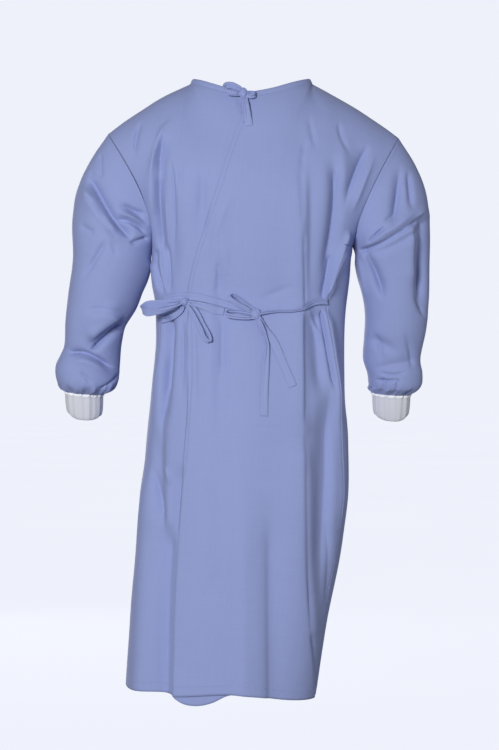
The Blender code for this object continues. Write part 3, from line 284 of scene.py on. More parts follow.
# The main folds, which the solids have too
MAIN_FOLDS = (
    Fold(-0.19, -0.35, -0.186, -0.385, -0.174, -0.44, 0.008, 0.012, 0.01, 0, 0.3),
    Fold(-0.15, -0.07, -0.186, -0.2, -0.172, -0.33, 0.007, 0.016, 0.011, 0, 0.4),
    Fold(-0.168, -0.11, -0.176, -0.23, -0.16, -0.44, -0.013, 0.012, 0.014, 0, 0.2),
    Fold(-0.158, -0.17, -0.15, -0.29, -0.146, -0.43, -0.006, 0.009, 0.012, 0, 0.3),
    Fold(-0.098, -0.17, -0.094, -0.25, -0.098, -0.35, -0.005, 0.014, 0.012, 0, 0.4),
    Fold(-0.04, -0.23, -0.06, -0.32, -0.062, -0.43, 0.004, 0.016, 0.016, 0, 0.4),
    Fold(-0.052, -0.33, -0.058, -0.52, -0.054, -0.8, -0.007, 0.013, 0.02, 0, 0.3),
    Fold(0.104, -0.13, 0.102, -0.42, 0.108, -0.8, 0.008, 0.03, 0.01, 0, 0.25),
    Fold(0.106, -0.7, 0.116, -0.95, 0.122, -1.23, 0.012, 0.04, 0.016, 0, 0.1),
    Fold(0.16, -0.15, 0.168, -0.262, 0.14, -0.44, -0.014, 0.014, 0.012, 0, 0.3),
    Fold(0.225, -0.13, 0.205, -0.19, 0.17, -0.29, -0.008, 0.013, 0.015, 0, 0.4),
    Fold(0.19, -0.11, 0.18, -0.17, 0.176, -0.24, 0.005, 0.014, 0.014, 0, 0.4),
    Fold(0.192, -0.33, 0.17, -0.382, 0.148, -0.432, 0.008, 0.006, 0.01, 0, 0.2),
    Fold(0.144, -0.448, 0.158, -0.54, 0.184, -0.72, 0.01, 0.01, 0.01, 0, 0.2),
    Fold(0.178, -0.66, 0.186, -0.76, 0.18, -0.9, 0.006, 0.012, 0.016, 0, 0.3),
    Fold(0.152, -0.6, 0.15, -0.79, 0.132, -1.06, -0.018, 0.026, 0.012, 0, 0.3),
    Fold(0.128, -0.45, 0.132, -0.52, 0.14, -0.64, -0.014, 0.014, 0.013, 0, 0.25),
    Fold(-0.1545, -0.452, -0.16, -0.56, -0.172, -0.69, -0.015, 0.017, 0.0095, 0, 0.25),
    Fold(-0.172, -0.45, -0.176, -0.54, -0.19, -0.72, 0.007, 0.014, 0.009, 0, 0.3),
    Fold(-0.172, -0.65, -0.176, -0.79, -0.168, -0.93, -0.013, 0.014, 0.01, 0, 0.35),
    Fold(-0.2, -0.74, -0.215, -0.96, -0.222, -1.23, 0.01, 0.024, 0.018, 0, 0.2),
    Fold(-0.158, -0.86, -0.166, -1.02, -0.168, -1.23, -0.018, 0.026, 0.012, 0, 0.2),
    Fold(-0.02, -0.56, -0.01, -0.85, 0.0, -1.23, 0.006, 0.04, 0.04, 0, 0.3),
    Fold(0.04, -0.8, 0.046, -1.0, 0.05, -1.23, -0.007, 0.022, 0.022, 0, 0.3),
    Fold(-0.33, -0.196, -0.299, -0.268, -0.24, -0.325, 0.01, 0.018, 0.008, 0, 0.25),
    Fold(-0.318, -0.185, -0.278, -0.262, -0.234, -0.316, -0.007, 0.006, 0.018, 0, 0.3),
    Fold(-0.325, -0.235, -0.285, -0.29, -0.262, -0.345, -0.006, 0.012, 0.012, 0, 0.4),
    Fold(-0.262, -0.25, -0.23, -0.262, -0.198, -0.29, -0.008, 0.008, 0.008, 0, 0.3),
    Fold(-0.236, -0.47, -0.285, -0.498, -0.326, -0.535, -0.01, 0.01, 0.01, 0, 0.3),
    Fold(-0.24, -0.44, -0.29, -0.462, -0.34, -0.48, 0.006, 0.014, 0.016, 0, 0.4),
    Fold(-0.378, -0.538, -0.325, -0.54, -0.262, -0.578, -0.006, 0.008, 0.009, 0, 0.2),
    Fold(0.352, -0.24, 0.3, -0.3, 0.214, -0.328, 0.01, 0.008, 0.022, 0, 0.2),
    Fold(0.36, -0.262, 0.3, -0.318, 0.222, -0.346, -0.009, 0.012, 0.008, 0, 0.2),
    Fold(0.292, -0.2, 0.29, -0.24, 0.276, -0.29, -0.006, 0.01, 0.012, 0, 0.4),
    Fold(0.332, -0.3, 0.338, -0.4, 0.348, -0.47, -0.01, 0.012, 0.012, 0, 0.3),
    Fold(0.226, -0.345, 0.25, -0.39, 0.27, -0.435, -0.008, 0.012, 0.012, 0, 0.4),
    Fold(0.226, -0.512, 0.262, -0.52, 0.3, -0.545, -0.007, 0.009, 0.01, 0, 0.4),
    Fold(0.336, -0.552, 0.29, -0.56, 0.236, -0.572, -0.004, 0.008, 0.008, 0, 0.3),
    Fold(-0.095, -0.16, -0.11, -0.6, -0.15, -1.23, 0.012, 0.03, 0.02, 1, 0.2),
    Fold(-0.05, -0.26, -0.062, -0.65, -0.098, -1.23, -0.011, 0.022, 0.024, 1, 0.25),
    Fold(0.0, -0.3, -0.01, -0.7, -0.042, -1.23, 0.009, 0.03, 0.028, 1, 0.3),
    Fold(0.055, -0.24, 0.05, -0.65, 0.01, -1.23, -0.012, 0.02, 0.022, 1, 0.25),
    Fold(0.11, -0.15, 0.108, -0.6, 0.062, -1.23, 0.013, 0.022, 0.03, 1, 0.2),
    Fold(-0.16, -0.33, -0.158, -0.6, -0.2, -1.23, -0.011, 0.016, 0.02, 1, 0.25),
    Fold(0.17, -0.33, 0.155, -0.65, 0.102, -1.23, -0.011, 0.018, 0.016, 1, 0.25),
    Fold(-0.215, -0.15, -0.178, -0.23, -0.15, -0.33, -0.008, 0.014, 0.014, 1, 0.4),
    Fold(0.225, -0.155, 0.188, -0.235, 0.16, -0.335, -0.008, 0.014, 0.014, 1, 0.4),
    Fold(-0.33, -0.23, -0.285, -0.3, -0.215, -0.345, -0.009, 0.014, 0.012, 1, 0.3),
    Fold(0.345, -0.245, 0.295, -0.31, 0.222, -0.35, -0.009, 0.014, 0.012, 1, 0.3),
    Fold(-0.35, -0.42, -0.3, -0.44, -0.245, -0.455, -0.01, 0.012, 0.012, 1, 0.3),
    Fold(0.35, -0.43, 0.3, -0.45, 0.24, -0.465, -0.01, 0.012, 0.012, 1, 0.3),
    Fold(-0.358, -0.49, -0.31, -0.505, -0.262, -0.5, -0.007, 0.01, 0.01, 1, 0.3),
    Fold(0.345, -0.5, 0.3, -0.515, 0.24, -0.51, -0.007, 0.01, 0.01, 1, 0.3),
)

# Sharper creases, narrower than the solids' rows can hold; the last ones are on the front
FINE_FOLDS = (
    Fold(0.318, -0.28, 0.322, -0.335, 0.326, -0.41, 0.008, 0.016, 0.006, 0, 0.2),
    Fold(0.338, -0.262, 0.34, -0.34, 0.338, -0.45, -0.01, 0.0088, 0.012, 0, 0.2),
    Fold(-0.019, -0.036, -0.015, -0.055, -0.008, -0.074, -0.005, 0.003, 0.003, 0, 0.2),
    Fold(-0.32, -0.186, -0.2765, -0.265, -0.23, -0.3165, -0.0125, 0.004, 0.009, 0, 0.15),
    Fold(-0.3265, -0.204, -0.2925, -0.262, -0.256, -0.302, 0.01, 0.009, 0.004, 0, 0.2),
    Fold(-0.2368, -0.3246, -0.2171, -0.3167, -0.1975, -0.3089, -0.0105, 0.004, 0.003, 0, 0.25),
    Fold(-0.2643, -0.2774, -0.2329, -0.2833, -0.2014, -0.3069, -0.0105, 0.003, 0.005, 0, 0.25),
    Fold(-0.2486, -0.246, -0.227, -0.2597, -0.1994, -0.2656, -0.0085, 0.003, 0.004, 0, 0.3),
    Fold(-0.2584, -0.2617, -0.2309, -0.2715, -0.2014, -0.2853, 0.0085, 0.004, 0.004, 0, 0.3),
    Fold(-0.2948, -0.1399, -0.2938, -0.1693, -0.2918, -0.2008, -0.0053, 0.003, 0.004, 0, 0.3),
    Fold(-0.3252, -0.2322, -0.2997, -0.2519, -0.2682, -0.3069, -0.0067, 0.006, 0.005, 0, 0.3),
    Fold(-0.3193, -0.1811, -0.3056, -0.187, -0.2898, -0.1929, -0.0045, 0.003, 0.003, 0, 0.35),
    Fold(-0.28, -0.3167, -0.2997, -0.3462, -0.335, -0.4012, -0.0067, 0.005, 0.006, 0, 0.35),
    Fold(-0.2722, -0.3167, -0.2663, -0.3324, -0.2604, -0.3521, -0.0045, 0.003, 0.003, 0, 0.35),
    Fold(-0.3272, -0.4562, -0.2859, -0.4523, -0.2427, -0.4621, -0.0045, 0.008, 0.005, 0, 0.35),
    Fold(-0.3193, -0.5191, -0.2859, -0.4896, -0.2466, -0.4621, 0.012, 0.005, 0.017, 0, 0.25),
    Fold(-0.3173, -0.5348, -0.282, -0.5054, -0.2446, -0.4779, -0.0155, 0.007, 0.003, 0, 0.2),
    Fold(-0.3645, -0.5385, -0.3213, -0.54, -0.2702, -0.57, -0.012, 0.006, 0.003, 0, 0.2),
    Fold(-0.3566, -0.5565, -0.3173, -0.5565, -0.278, -0.584, 0.006, 0.01, 0.005, 0, 0.3),
    Fold(-0.3075, -0.6134, -0.278, -0.5977, -0.2623, -0.5761, -0.006, 0.003, 0.003, 0, 0.25),
    Fold(-0.3409, -0.5761, -0.3252, -0.5879, -0.3134, -0.6075, -0.0045, 0.003, 0.004, 0, 0.35),
    Fold(-0.337, -0.2853, -0.3193, -0.2951, -0.3016, -0.3069, -0.0053, 0.004, 0.005, 0, 0.35),
    Fold(0.296, -0.165, 0.29, -0.235, 0.276, -0.302, -0.012, 0.01, 0.007, 0, 0.3),
    Fold(0.312, -0.175, 0.316, -0.218, 0.319, -0.26, -0.01, 0.006, 0.005, 0, 0.3),
    Fold(0.2152, -0.3344, 0.2682, -0.3167, 0.3508, -0.2597, -0.0145, 0.006, 0.003, 0, 0.15),
    Fold(0.2191, -0.3187, 0.2722, -0.3, 0.3449, -0.244, 0.0095, 0.005, 0.016, 0, 0.3),
    Fold(0.2329, -0.3226, 0.2486, -0.3069, 0.2702, -0.2892, -0.0105, 0.003, 0.003, 0, 0.3),
    Fold(0.2623, -0.2794, 0.2722, -0.2755, 0.2839, -0.2676, -0.0053, 0.003, 0.003, 0, 0.35),
    Fold(0.223, -0.3285, 0.2446, -0.3776, 0.2663, -0.4405, -0.011, 0.004, 0.008, 0, 0.3),
    Fold(0.2132, -0.3442, 0.225, -0.3894, 0.2309, -0.4425, 0.006, 0.004, 0.004, 0, 0.35),
    Fold(0.3272, -0.4189, 0.337, -0.4425, 0.3508, -0.47, -0.0067, 0.004, 0.004, 0, 0.3),
    Fold(0.337, -0.2696, 0.3429, -0.3521, 0.339, -0.4582, -0.006, 0.005, 0.009, 0, 0.35),
    Fold(0.2486, -0.5899, 0.2722, -0.5938, 0.2997, -0.5899, -0.0053, 0.003, 0.003, 0, 0.3),
    Fold(0.2525, -0.5741, 0.2839, -0.582, 0.3154, -0.5741, -0.0045, 0.003, 0.004, 0, 0.35),
    Fold(0.2643, -0.6154, 0.2682, -0.5997, 0.2643, -0.584, -0.0045, 0.003, 0.003, 0, 0.3),
    Fold(0.2957, -0.6154, 0.2938, -0.6017, 0.2997, -0.5879, -0.0045, 0.003, 0.003, 0, 0.3),
    Fold(0.2407, -0.4936, 0.2564, -0.5231, 0.2643, -0.5643, -0.006, 0.005, 0.005, 0, 0.4),
    Fold(0.3036, -0.4936, 0.3193, -0.5368, 0.3232, -0.5761, -0.006, 0.004, 0.006, 0, 0.4),
    Fold(-0.148, -0.0808, -0.1809, -0.1311, -0.1925, -0.2182, 0.0066, 0.005, 0.004, 0, 0.3),
    Fold(-0.1654, -0.1079, -0.1761, -0.1505, -0.178, -0.1989, -0.0054, 0.004, 0.004, 0, 0.3),
    Fold(-0.178, -0.1853, -0.18, -0.2589, -0.1732, -0.3672, -0.0096, 0.006, 0.006, 0, 0.25),
    Fold(-0.1577, -0.166, -0.1471, -0.224, -0.15, -0.3595, -0.0054, 0.004, 0.003, 0, 0.3),
    Fold(-0.1674, -0.2202, -0.1635, -0.2917, -0.1606, -0.3556, 0.0036, 0.004, 0.004, 0, 0.35),
    Fold(-0.2119, -0.0808, -0.2235, -0.1137, -0.226, -0.1582, -0.0067, 0.003, 0.006, 0, 0.35),
    Fold(-0.1877, -0.3266, -0.1809, -0.375, -0.1654, -0.4214, -0.0072, 0.004, 0.004, 0, 0.2),
    Fold(-0.18, -0.3208, -0.1732, -0.3788, -0.1596, -0.4272, 0.006, 0.003, 0.004, 0, 0.25),
    Fold(-0.1664, -0.3208, -0.1616, -0.3691, -0.1538, -0.4253, -0.0084, 0.004, 0.004, 0, 0.25),
    Fold(-0.0261, -0.2163, -0.0581, -0.2898, -0.0822, -0.3633, 0.003, 0.009, 0.005, 0, 0.4),
    Fold(-0.0966, -0.1737, -0.0929, -0.2202, -0.0997, -0.2782, -0.0042, 0.003, 0.004, 0, 0.35),
    Fold(-0.1267, -0.166, -0.1345, -0.2008, -0.1229, -0.2356, -0.003, 0.004, 0.004, 0, 0.4),
    Fold(-0.0629, -0.3556, -0.061, -0.3943, -0.0648, -0.4311, -0.0054, 0.003, 0.004, 0, 0.3),
    Fold(-0.0513, -0.3208, -0.0455, -0.3633, -0.0551, -0.4175, 0.003, 0.005, 0.005, 0, 0.4),
    Fold(0.1093, -0.1253, 0.0997, -0.1892, 0.1035, -0.3053, -0.0056, 0.0022, 0.004, 0, 0.2),
    Fold(0.1035, -0.2898, 0.1055, -0.3788, 0.1064, -0.4601, -0.0056, 0.0022, 0.004, 0, 0.2),
    Fold(0.1171, -0.166, 0.119, -0.3014, 0.1151, -0.4465, -0.0048, 0.006, 0.017, 0, 0.35),
    Fold(0.1151, -0.0731, 0.1198, -0.1079, 0.1306, -0.1524, -0.0042, 0.003, 0.005, 0, 0.35),
    Fold(0.1771, -0.0847, 0.179, -0.1157, 0.2022, -0.1621, -0.0054, 0.003, 0.006, 0, 0.35),
    Fold(0.2351, -0.1273, 0.2109, -0.1815, 0.1848, -0.2627, -0.0084, 0.006, 0.005, 0, 0.3),
    Fold(0.2467, -0.1486, 0.2235, -0.2047, 0.1983, -0.2724, 0.006, 0.005, 0.005, 0, 0.35),
    Fold(0.162, -0.175, 0.165, -0.262, 0.142, -0.4, -0.007, 0.007, 0.006, 0, 0.25),
    Fold(0.198, -0.296, 0.172, -0.362, 0.1455, -0.4407, 0.01, 0.005, 0.006, 0, 0.15),
    Fold(0.164, -0.345, 0.1545, -0.386, 0.141, -0.4407, -0.008, 0.007, 0.004, 0, 0.2),
    Fold(0.1693, -0.3924, 0.1606, -0.4175, 0.1519, -0.4388, 0.0042, 0.003, 0.003, 0, 0.3),
    Fold(0.0919, -0.4059, 0.0513, -0.4214, 0.0106, -0.4388, -0.003, 0.006, 0.009, 0, 0.4),
    Fold(-0.154, -0.46, -0.1585, -0.53, -0.166, -0.63, -0.008, 0.01, 0.0035, 0, 0.15),
    Fold(-0.1616, -0.5259, -0.1703, -0.611, -0.1732, -0.7368, -0.006, 0.004, 0.01, 0, 0.3),
    Fold(-0.1219, -0.464, -0.1194, -0.5433, -0.1171, -0.7116, 0.0042, 0.0035, 0.0035, 0, 0.25),
    Fold(-0.1325, -0.4678, -0.1306, -0.5336, -0.1325, -0.6342, -0.0042, 0.004, 0.003, 0, 0.3),
    Fold(-0.1084, -0.4678, -0.1064, -0.553, -0.1035, -0.6768, -0.0042, 0.003, 0.004, 0, 0.35),
    Fold(-0.0542, -0.4601, -0.0551, -0.5239, -0.0551, -0.5917, -0.0054, 0.003, 0.009, 0, 0.3),
    Fold(0.1064, -0.4562, 0.1064, -0.553, 0.1074, -0.6923, -0.0071, 0.0022, 0.013, 0, 0.15),
    Fold(0.1074, -0.6691, 0.1093, -0.8626, 0.1142, -1.1044, -0.0056, 0.0025, 0.015, 0, 0.2),
    Fold(0.1132, -1.0754, 0.1209, -1.1528, 0.1238, -1.2264, -0.0061, 0.0025, 0.015, 0, 0.15),
    Fold(0.1093, -0.4543, 0.1264, -0.4787, 0.148, -0.5298, 0.0054, 0.004, 0.004, 0, 0.25),
    Fold(0.1403, -0.4543, 0.148, -0.5065, 0.1664, -0.6226, -0.0108, 0.004, 0.003, 0, 0.15),
    Fold(0.1577, -0.462, 0.1645, -0.5336, 0.1771, -0.6691, 0.0072, 0.005, 0.005, 0, 0.2),
    Fold(0.1712, -0.4911, 0.1809, -0.5917, 0.1925, -0.6768, -0.0048, 0.004, 0.009, 0, 0.3),
    Fold(-0.1654, -0.7561, -0.1596, -0.7774, -0.1538, -0.7987, 0.0048, 0.004, 0.003, 0, 0.3),
    Fold(-0.1925, -0.7561, -0.179, -0.8142, -0.1674, -0.8819, -0.006, 0.005, 0.005, 0, 0.3),
    Fold(-0.13, -0.7465, -0.1465, -0.955, -0.153, -1.2264, -0.012, 0.02, 0.0025, 0, 0.12),
    Fold(0.0358, -0.8529, 0.0358, -1.0174, 0.0377, -1.2264, -0.0036, 0.004, 0.015, 0, 0.3),
    Fold(-0.0745, -0.6884, -0.0706, -0.8626, -0.0687, -1.0948, -0.003, 0.01, 0.005, 0, 0.4),
    Fold(-0.0164, -0.7658, -0.0126, -0.9787, -0.0145, -1.2109, 0.003, 0.01, 0.014, 0, 0.4),
    Fold(0.1519, -0.8626, 0.1558, -0.94, 0.148, -1.0561, -0.0048, 0.005, 0.006, 0, 0.35),
    Fold(-0.318, -0.19, -0.285, -0.255, -0.232, -0.312, -0.009, 0.004, 0.007, 1, 0.2),
    Fold(-0.326, -0.205, -0.292, -0.268, -0.244, -0.322, 0.0075, 0.008, 0.004, 1, 0.3),
    Fold(-0.258, -0.262, -0.232, -0.272, -0.2, -0.296, -0.0067, 0.003, 0.005, 1, 0.3),
    Fold(-0.3, -0.15, -0.296, -0.18, -0.292, -0.214, -0.0053, 0.003, 0.004, 1, 0.35),
    Fold(-0.35, -0.47, -0.316, -0.486, -0.258, -0.47, -0.0105, 0.006, 0.003, 1, 0.2),
    Fold(-0.362, -0.528, -0.326, -0.532, -0.276, -0.556, -0.0075, 0.005, 0.003, 1, 0.25),
    Fold(-0.3, -0.35, -0.312, -0.4, -0.33, -0.44, -0.006, 0.005, 0.005, 1, 0.35),
    Fold(0.214, -0.332, 0.262, -0.308, 0.336, -0.262, -0.0105, 0.006, 0.003, 1, 0.2),
    Fold(0.22, -0.316, 0.27, -0.29, 0.334, -0.24, 0.0075, 0.005, 0.015, 1, 0.3),
    Fold(0.298, -0.176, 0.29, -0.216, 0.276, -0.262, -0.0075, 0.004, 0.004, 1, 0.3),
    Fold(0.232, -0.352, 0.256, -0.398, 0.276, -0.446, -0.0075, 0.005, 0.005, 1, 0.3),
    Fold(0.24, -0.486, 0.286, -0.502, 0.34, -0.496, -0.009, 0.005, 0.003, 1, 0.25),
    Fold(0.246, -0.56, 0.286, -0.566, 0.33, -0.556, -0.006, 0.004, 0.004, 1, 0.3),
    Fold(-0.19, -0.14, -0.168, -0.188, -0.162, -0.262, -0.0072, 0.005, 0.005, 1, 0.3),
    Fold(-0.178, -0.33, -0.17, -0.38, -0.16, -0.44, -0.0084, 0.004, 0.005, 1, 0.25),
    Fold(-0.168, -0.33, -0.16, -0.39, -0.15, -0.45, 0.006, 0.004, 0.004, 1, 0.3),
    Fold(0.196, -0.14, 0.176, -0.192, 0.17, -0.27, -0.0072, 0.005, 0.005, 1, 0.3),
    Fold(0.188, -0.336, 0.18, -0.392, 0.164, -0.452, -0.0084, 0.004, 0.005, 1, 0.25),
    Fold(0.15, -0.46, 0.158, -0.56, 0.168, -0.7, -0.0072, 0.003, 0.008, 1, 0.25),
    Fold(-0.1, -0.44, -0.106, -0.56, -0.12, -0.76, -0.0072, 0.003, 0.01, 1, 0.25),
    Fold(0.06, -0.43, 0.07, -0.54, 0.072, -0.7, -0.006, 0.003, 0.009, 1, 0.3),
    Fold(-0.03, -0.2, -0.04, -0.26, -0.046, -0.34, -0.0036, 0.004, 0.006, 1, 0.4),
    Fold(0.04, -0.18, 0.048, -0.24, 0.052, -0.32, -0.0036, 0.005, 0.004, 1, 0.4),
    Fold(-0.14, -0.78, -0.156, -0.98, -0.172, -1.23, -0.0072, 0.003, 0.014, 1, 0.2),
    Fold(0.09, -0.76, 0.074, -0.98, 0.05, -1.23, -0.0072, 0.012, 0.003, 1, 0.2),
    Fold(-0.02, -0.76, -0.034, -0.98, -0.05, -1.23, 0.0048, 0.006, 0.01, 1, 0.3),
)

WAIST_TIE_LEFT = (
    Laid(-0.17, -0.4335, 0.0135, 0.0),
    Laid(-0.1384, -0.429, 0.014, 0.0),
    Laid(-0.1105, -0.43, 0.014, 0.0),
    Laid(-0.0623, -0.44, 0.0135, 0.0),
    Laid(-0.0281, -0.4504, 0.012, 0.001),
    Laid(0.01, -0.464, 0.008, 0.005),
)
WAIST_TIE_FRONT = (
    Laid(-0.174, -0.4735, 0.013, 0.0),
    Laid(-0.1538, -0.469, 0.013, 0.0),
    Laid(-0.134, -0.457, 0.01, 0.001),
    Laid(-0.1262, -0.44, 0.007, 0.004),
)
WAIST_TIE_RIGHT = (
    Laid(0.1525, -0.4385, 0.0125, 0.0),
    Laid(0.133, -0.44, 0.01, 0.001),
    Laid(0.116, -0.447, 0.0062, 0.001),
    Laid(0.104, -0.454, 0.005, 0.002),
    Laid(0.088, -0.4575, 0.0045, 0.002),
    Laid(0.05, -0.459, 0.0048, 0.003),
    Laid(0.014, -0.464, 0.007, 0.006),
)
SIDE_TAIL = (
    Laid(-0.1258, -0.44, 0.007, 0.004),
    Laid(-0.109, -0.443, 0.01, 0.002),
    Laid(-0.09, -0.448, 0.0135, 0.001),
    Laid(-0.072, -0.4545, 0.0145, 0.0),
    Laid(-0.049, -0.459, 0.0145, 0.0),
)
MIDDLE_TAIL_DOWN = (
    Laid(0.0135, -0.465, 0.008, 0.006),
    Laid(0.027, -0.499, 0.01, 0.002),
    Laid(0.0342, -0.523, 0.0075, 0.002),
    Laid(0.0325, -0.555, 0.012, 0.001),
    Laid(0.0292, -0.61, 0.014, 0.0),
    Laid(0.0281, -0.661, 0.0145, 0.0),
)
MIDDLE_TAIL_ASLANT = (
    Laid(0.015, -0.465, 0.008, 0.006),
    Laid(0.028, -0.49, 0.012, 0.003),
    Laid(0.0455, -0.515, 0.015, 0.001),
    Laid(0.0655, -0.56, 0.015, 0.0),
    Laid(0.0845, -0.604, 0.015, 0.0),
)
NECK_TAIL = (
    Laid(-0.0105, -0.035, 0.008, 0.005),
    Laid(-0.0065, -0.056, 0.011, 0.002),
    Laid(-0.004, -0.074, 0.013, 0.001),
    Laid(-0.0012, -0.0985, 0.0155, 0.0),
)
NECK_TAIL_UNDER = (
    Laid(-0.0115, -0.039, 0.008, 0.002),
    Laid(-0.009, -0.056, 0.011, 0.001),
    Laid(-0.0085, -0.074, 0.013, 0.0),
    Laid(-0.007, -0.09, 0.014, 0.0),
)
SIDE_LOOP_LEFT = (
    Free(-0.1258, -0.002, -0.4385, 90, 30, 0.007),
    Free(-0.15, -0.006, -0.4415, 90, 24, 0.0125),
    Free(-0.18, -0.01, -0.444, 90, 18, 0.0168),
    Free(-0.202, -0.016, -0.447, 95, 20, 0.0168),
    Free(-0.2105, -0.013, -0.454, 110, 30, 0.0158),
    Free(-0.203, -0.006, -0.4595, 95, 22, 0.0155),
    Free(-0.18, 0.002, -0.4575, 90, 24, 0.015),
    Free(-0.154, 0.005, -0.452, 90, 35, 0.0115),
    Free(-0.1258, 0.004, -0.442, 90, 40, 0.007),
)
SIDE_LOOP_LOW = (
    Free(-0.125, -0.001, -0.44, 35, 40, 0.0065),
    Free(-0.108, -0.002, -0.453, 30, 48, 0.0095),
    Free(-0.091, -0.002, -0.483, 30, 50, 0.011),
    Free(-0.0775, 0.0, -0.511, 30, 50, 0.0115),
    Free(-0.077, 0.003, -0.5165, 30, 50, 0.0115),
    Free(-0.0815, 0.006, -0.515, 30, 48, 0.0115),
    Free(-0.096, 0.006, -0.488, 30, 45, 0.0105),
    Free(-0.111, 0.006, -0.46, 33, 45, 0.009),
    Free(-0.1255, 0.003, -0.44, 35, 40, 0.0065),
)
MIDDLE_LOOP_HIGH = (
    Free(0.012, -0.001, -0.459, 52, 40, 0.006),
    Free(-0.008, -0.002, -0.445, 52, 52, 0.008),
    Free(-0.027, -0.001, -0.432, 52, 52, 0.009),
    Free(-0.0345, 0.002, -0.429, 55, 50, 0.0095),
    Free(-0.038, 0.005, -0.4315, 55, 48, 0.0095),
    Free(-0.033, 0.007, -0.437, 52, 45, 0.009),
    Free(-0.012, 0.006, -0.45, 52, 42, 0.008),
    Free(0.012, 0.003, -0.462, 52, 40, 0.006),
)
MIDDLE_LOOP_LOW = (
    Free(0.012, -0.004, -0.4665, 85, 35, 0.006),
    Free(-0.012, -0.003, -0.4625, 85, 40, 0.0085),
    Free(-0.033, -0.002, -0.46, 88, 42, 0.0095),
    Free(-0.0425, 0.001, -0.461, 90, 42, 0.0095),
    Free(-0.0435, 0.004, -0.4645, 90, 42, 0.0095),
    Free(-0.034, 0.005, -0.4675, 88, 40, 0.0095),
    Free(-0.012, 0.005, -0.47, 85, 38, 0.0085),
    Free(0.012, 0.001, -0.47, 85, 35, 0.006),
)
NECK_LOOP_LEFT = (
    Free(-0.0113, -0.002, -0.027, 120, 25, 0.008),
    Free(-0.024, 0.0, -0.0215, 122, 15, 0.012),
    Free(-0.037, 0.002, -0.0175, 122, 10, 0.013),
    Free(-0.0455, 0.004, -0.0185, 122, 12, 0.0125),
    Free(-0.049, 0.007, -0.024, 115, 20, 0.012),
    Free(-0.0455, 0.01, -0.03, 105, 15, 0.0115),
    Free(-0.033, 0.01, -0.033, 100, 15, 0.0115),
    Free(-0.0113, 0.005, -0.035, 95, 25, 0.008),
)
NECK_LOOP_RIGHT = (
    Free(-0.0113, -0.003, -0.033, 90, 20, 0.0065),
    Free(-0.001, -0.001, -0.0325, 90, 15, 0.0085),
    Free(0.006, 0.001, -0.033, 92, 12, 0.009),
    Free(0.0092, 0.003, -0.0355, 95, 15, 0.009),
    Free(0.0065, 0.005, -0.0385, 92, 15, 0.0085),
    Free(-0.001, 0.005, -0.0385, 90, 18, 0.008),
    Free(-0.0113, 0.003, -0.037, 90, 20, 0.0065),
)


def smooth_between(at: np.ndarray, places: list, values: list) -> np.ndarray:
    """Reads a smooth curve.

    Args:
        at: Where to read it.
        places: The places that it passes, rising.
        values: Its value at each place.

    Returns:
        The value at each of `at`.
    """
    places, values = np.asarray(places, float), np.asarray(values, float)
    slopes = np.gradient(values, places)
    at = np.clip(at, places[0], places[-1])
    i = np.clip(np.searchsorted(places, at) - 1, 0, len(places) - 2)
    step = places[i + 1] - places[i]
    t = (at - places[i]) / step
    return (
        (2 * t**3 - 3 * t**2 + 1) * values[i]
        + (t**3 - 2 * t**2 + t) * step * slopes[i]
        + (3 * t**2 - 2 * t**3) * values[i + 1]
        + (t**3 - t**2) * step * slopes[i + 1]
    )


def read_column(table: tuple, name: str, z: np.ndarray) -> np.ndarray:
    """Reads one named column of a table at heights.

    Args:
        table: Rows that each have a z.
        name: The column.
        z: The heights.

    Returns:
        The column's smooth value at each height.
    """
    rows = sorted(table, key=lambda row: row.z)
    return smooth_between(z, [row.z for row in rows], [getattr(row, name) for row in rows])


def soft_step(t: np.ndarray) -> np.ndarray:
    """Returns 0 below 0, 1 above 1, and a smooth rise between."""
    t = np.clip(t, 0.0, 1.0)
    return t * t * (3 - 2 * t)


def unit(vectors: np.ndarray) -> np.ndarray:
    """Returns the vectors, along the last axis, each one metre long."""
    return vectors / np.maximum(np.linalg.norm(vectors, axis=-1, keepdims=True), 1e-12)


def spaced(marks: tuple, counts: tuple, eases: tuple) -> np.ndarray:
    """Spaces values between marks.

    Args:
        marks: Values that are kept.
        counts: How many steps there are between each two marks.
        eases: "start", "end" or "both" where steps are closer at those ends, or None.

    Returns:
        The values from the first mark to the last.
    """
    parts = []
    for a, b, count, ease in zip(marks, marks[1:], counts, eases):
        t = np.linspace(0, 1, count + 1)[:-1]
        if ease == "start":
            t = 1 - np.cos(np.pi / 2 * t)
        elif ease == "end":
            t = np.sin(np.pi / 2 * t)
        elif ease == "both":
            t = (1 - np.cos(np.pi * t)) / 2
        parts.append(a + (b - a) * t)
    return np.append(np.concatenate(parts), marks[-1])


def armhole_bow(f: np.ndarray) -> np.ndarray:
    """Returns how an armhole's bow grows and fades from its low end (0) to its top (1)."""
    return np.sin(np.pi * np.clip(f, 0, 1) ** 0.75)


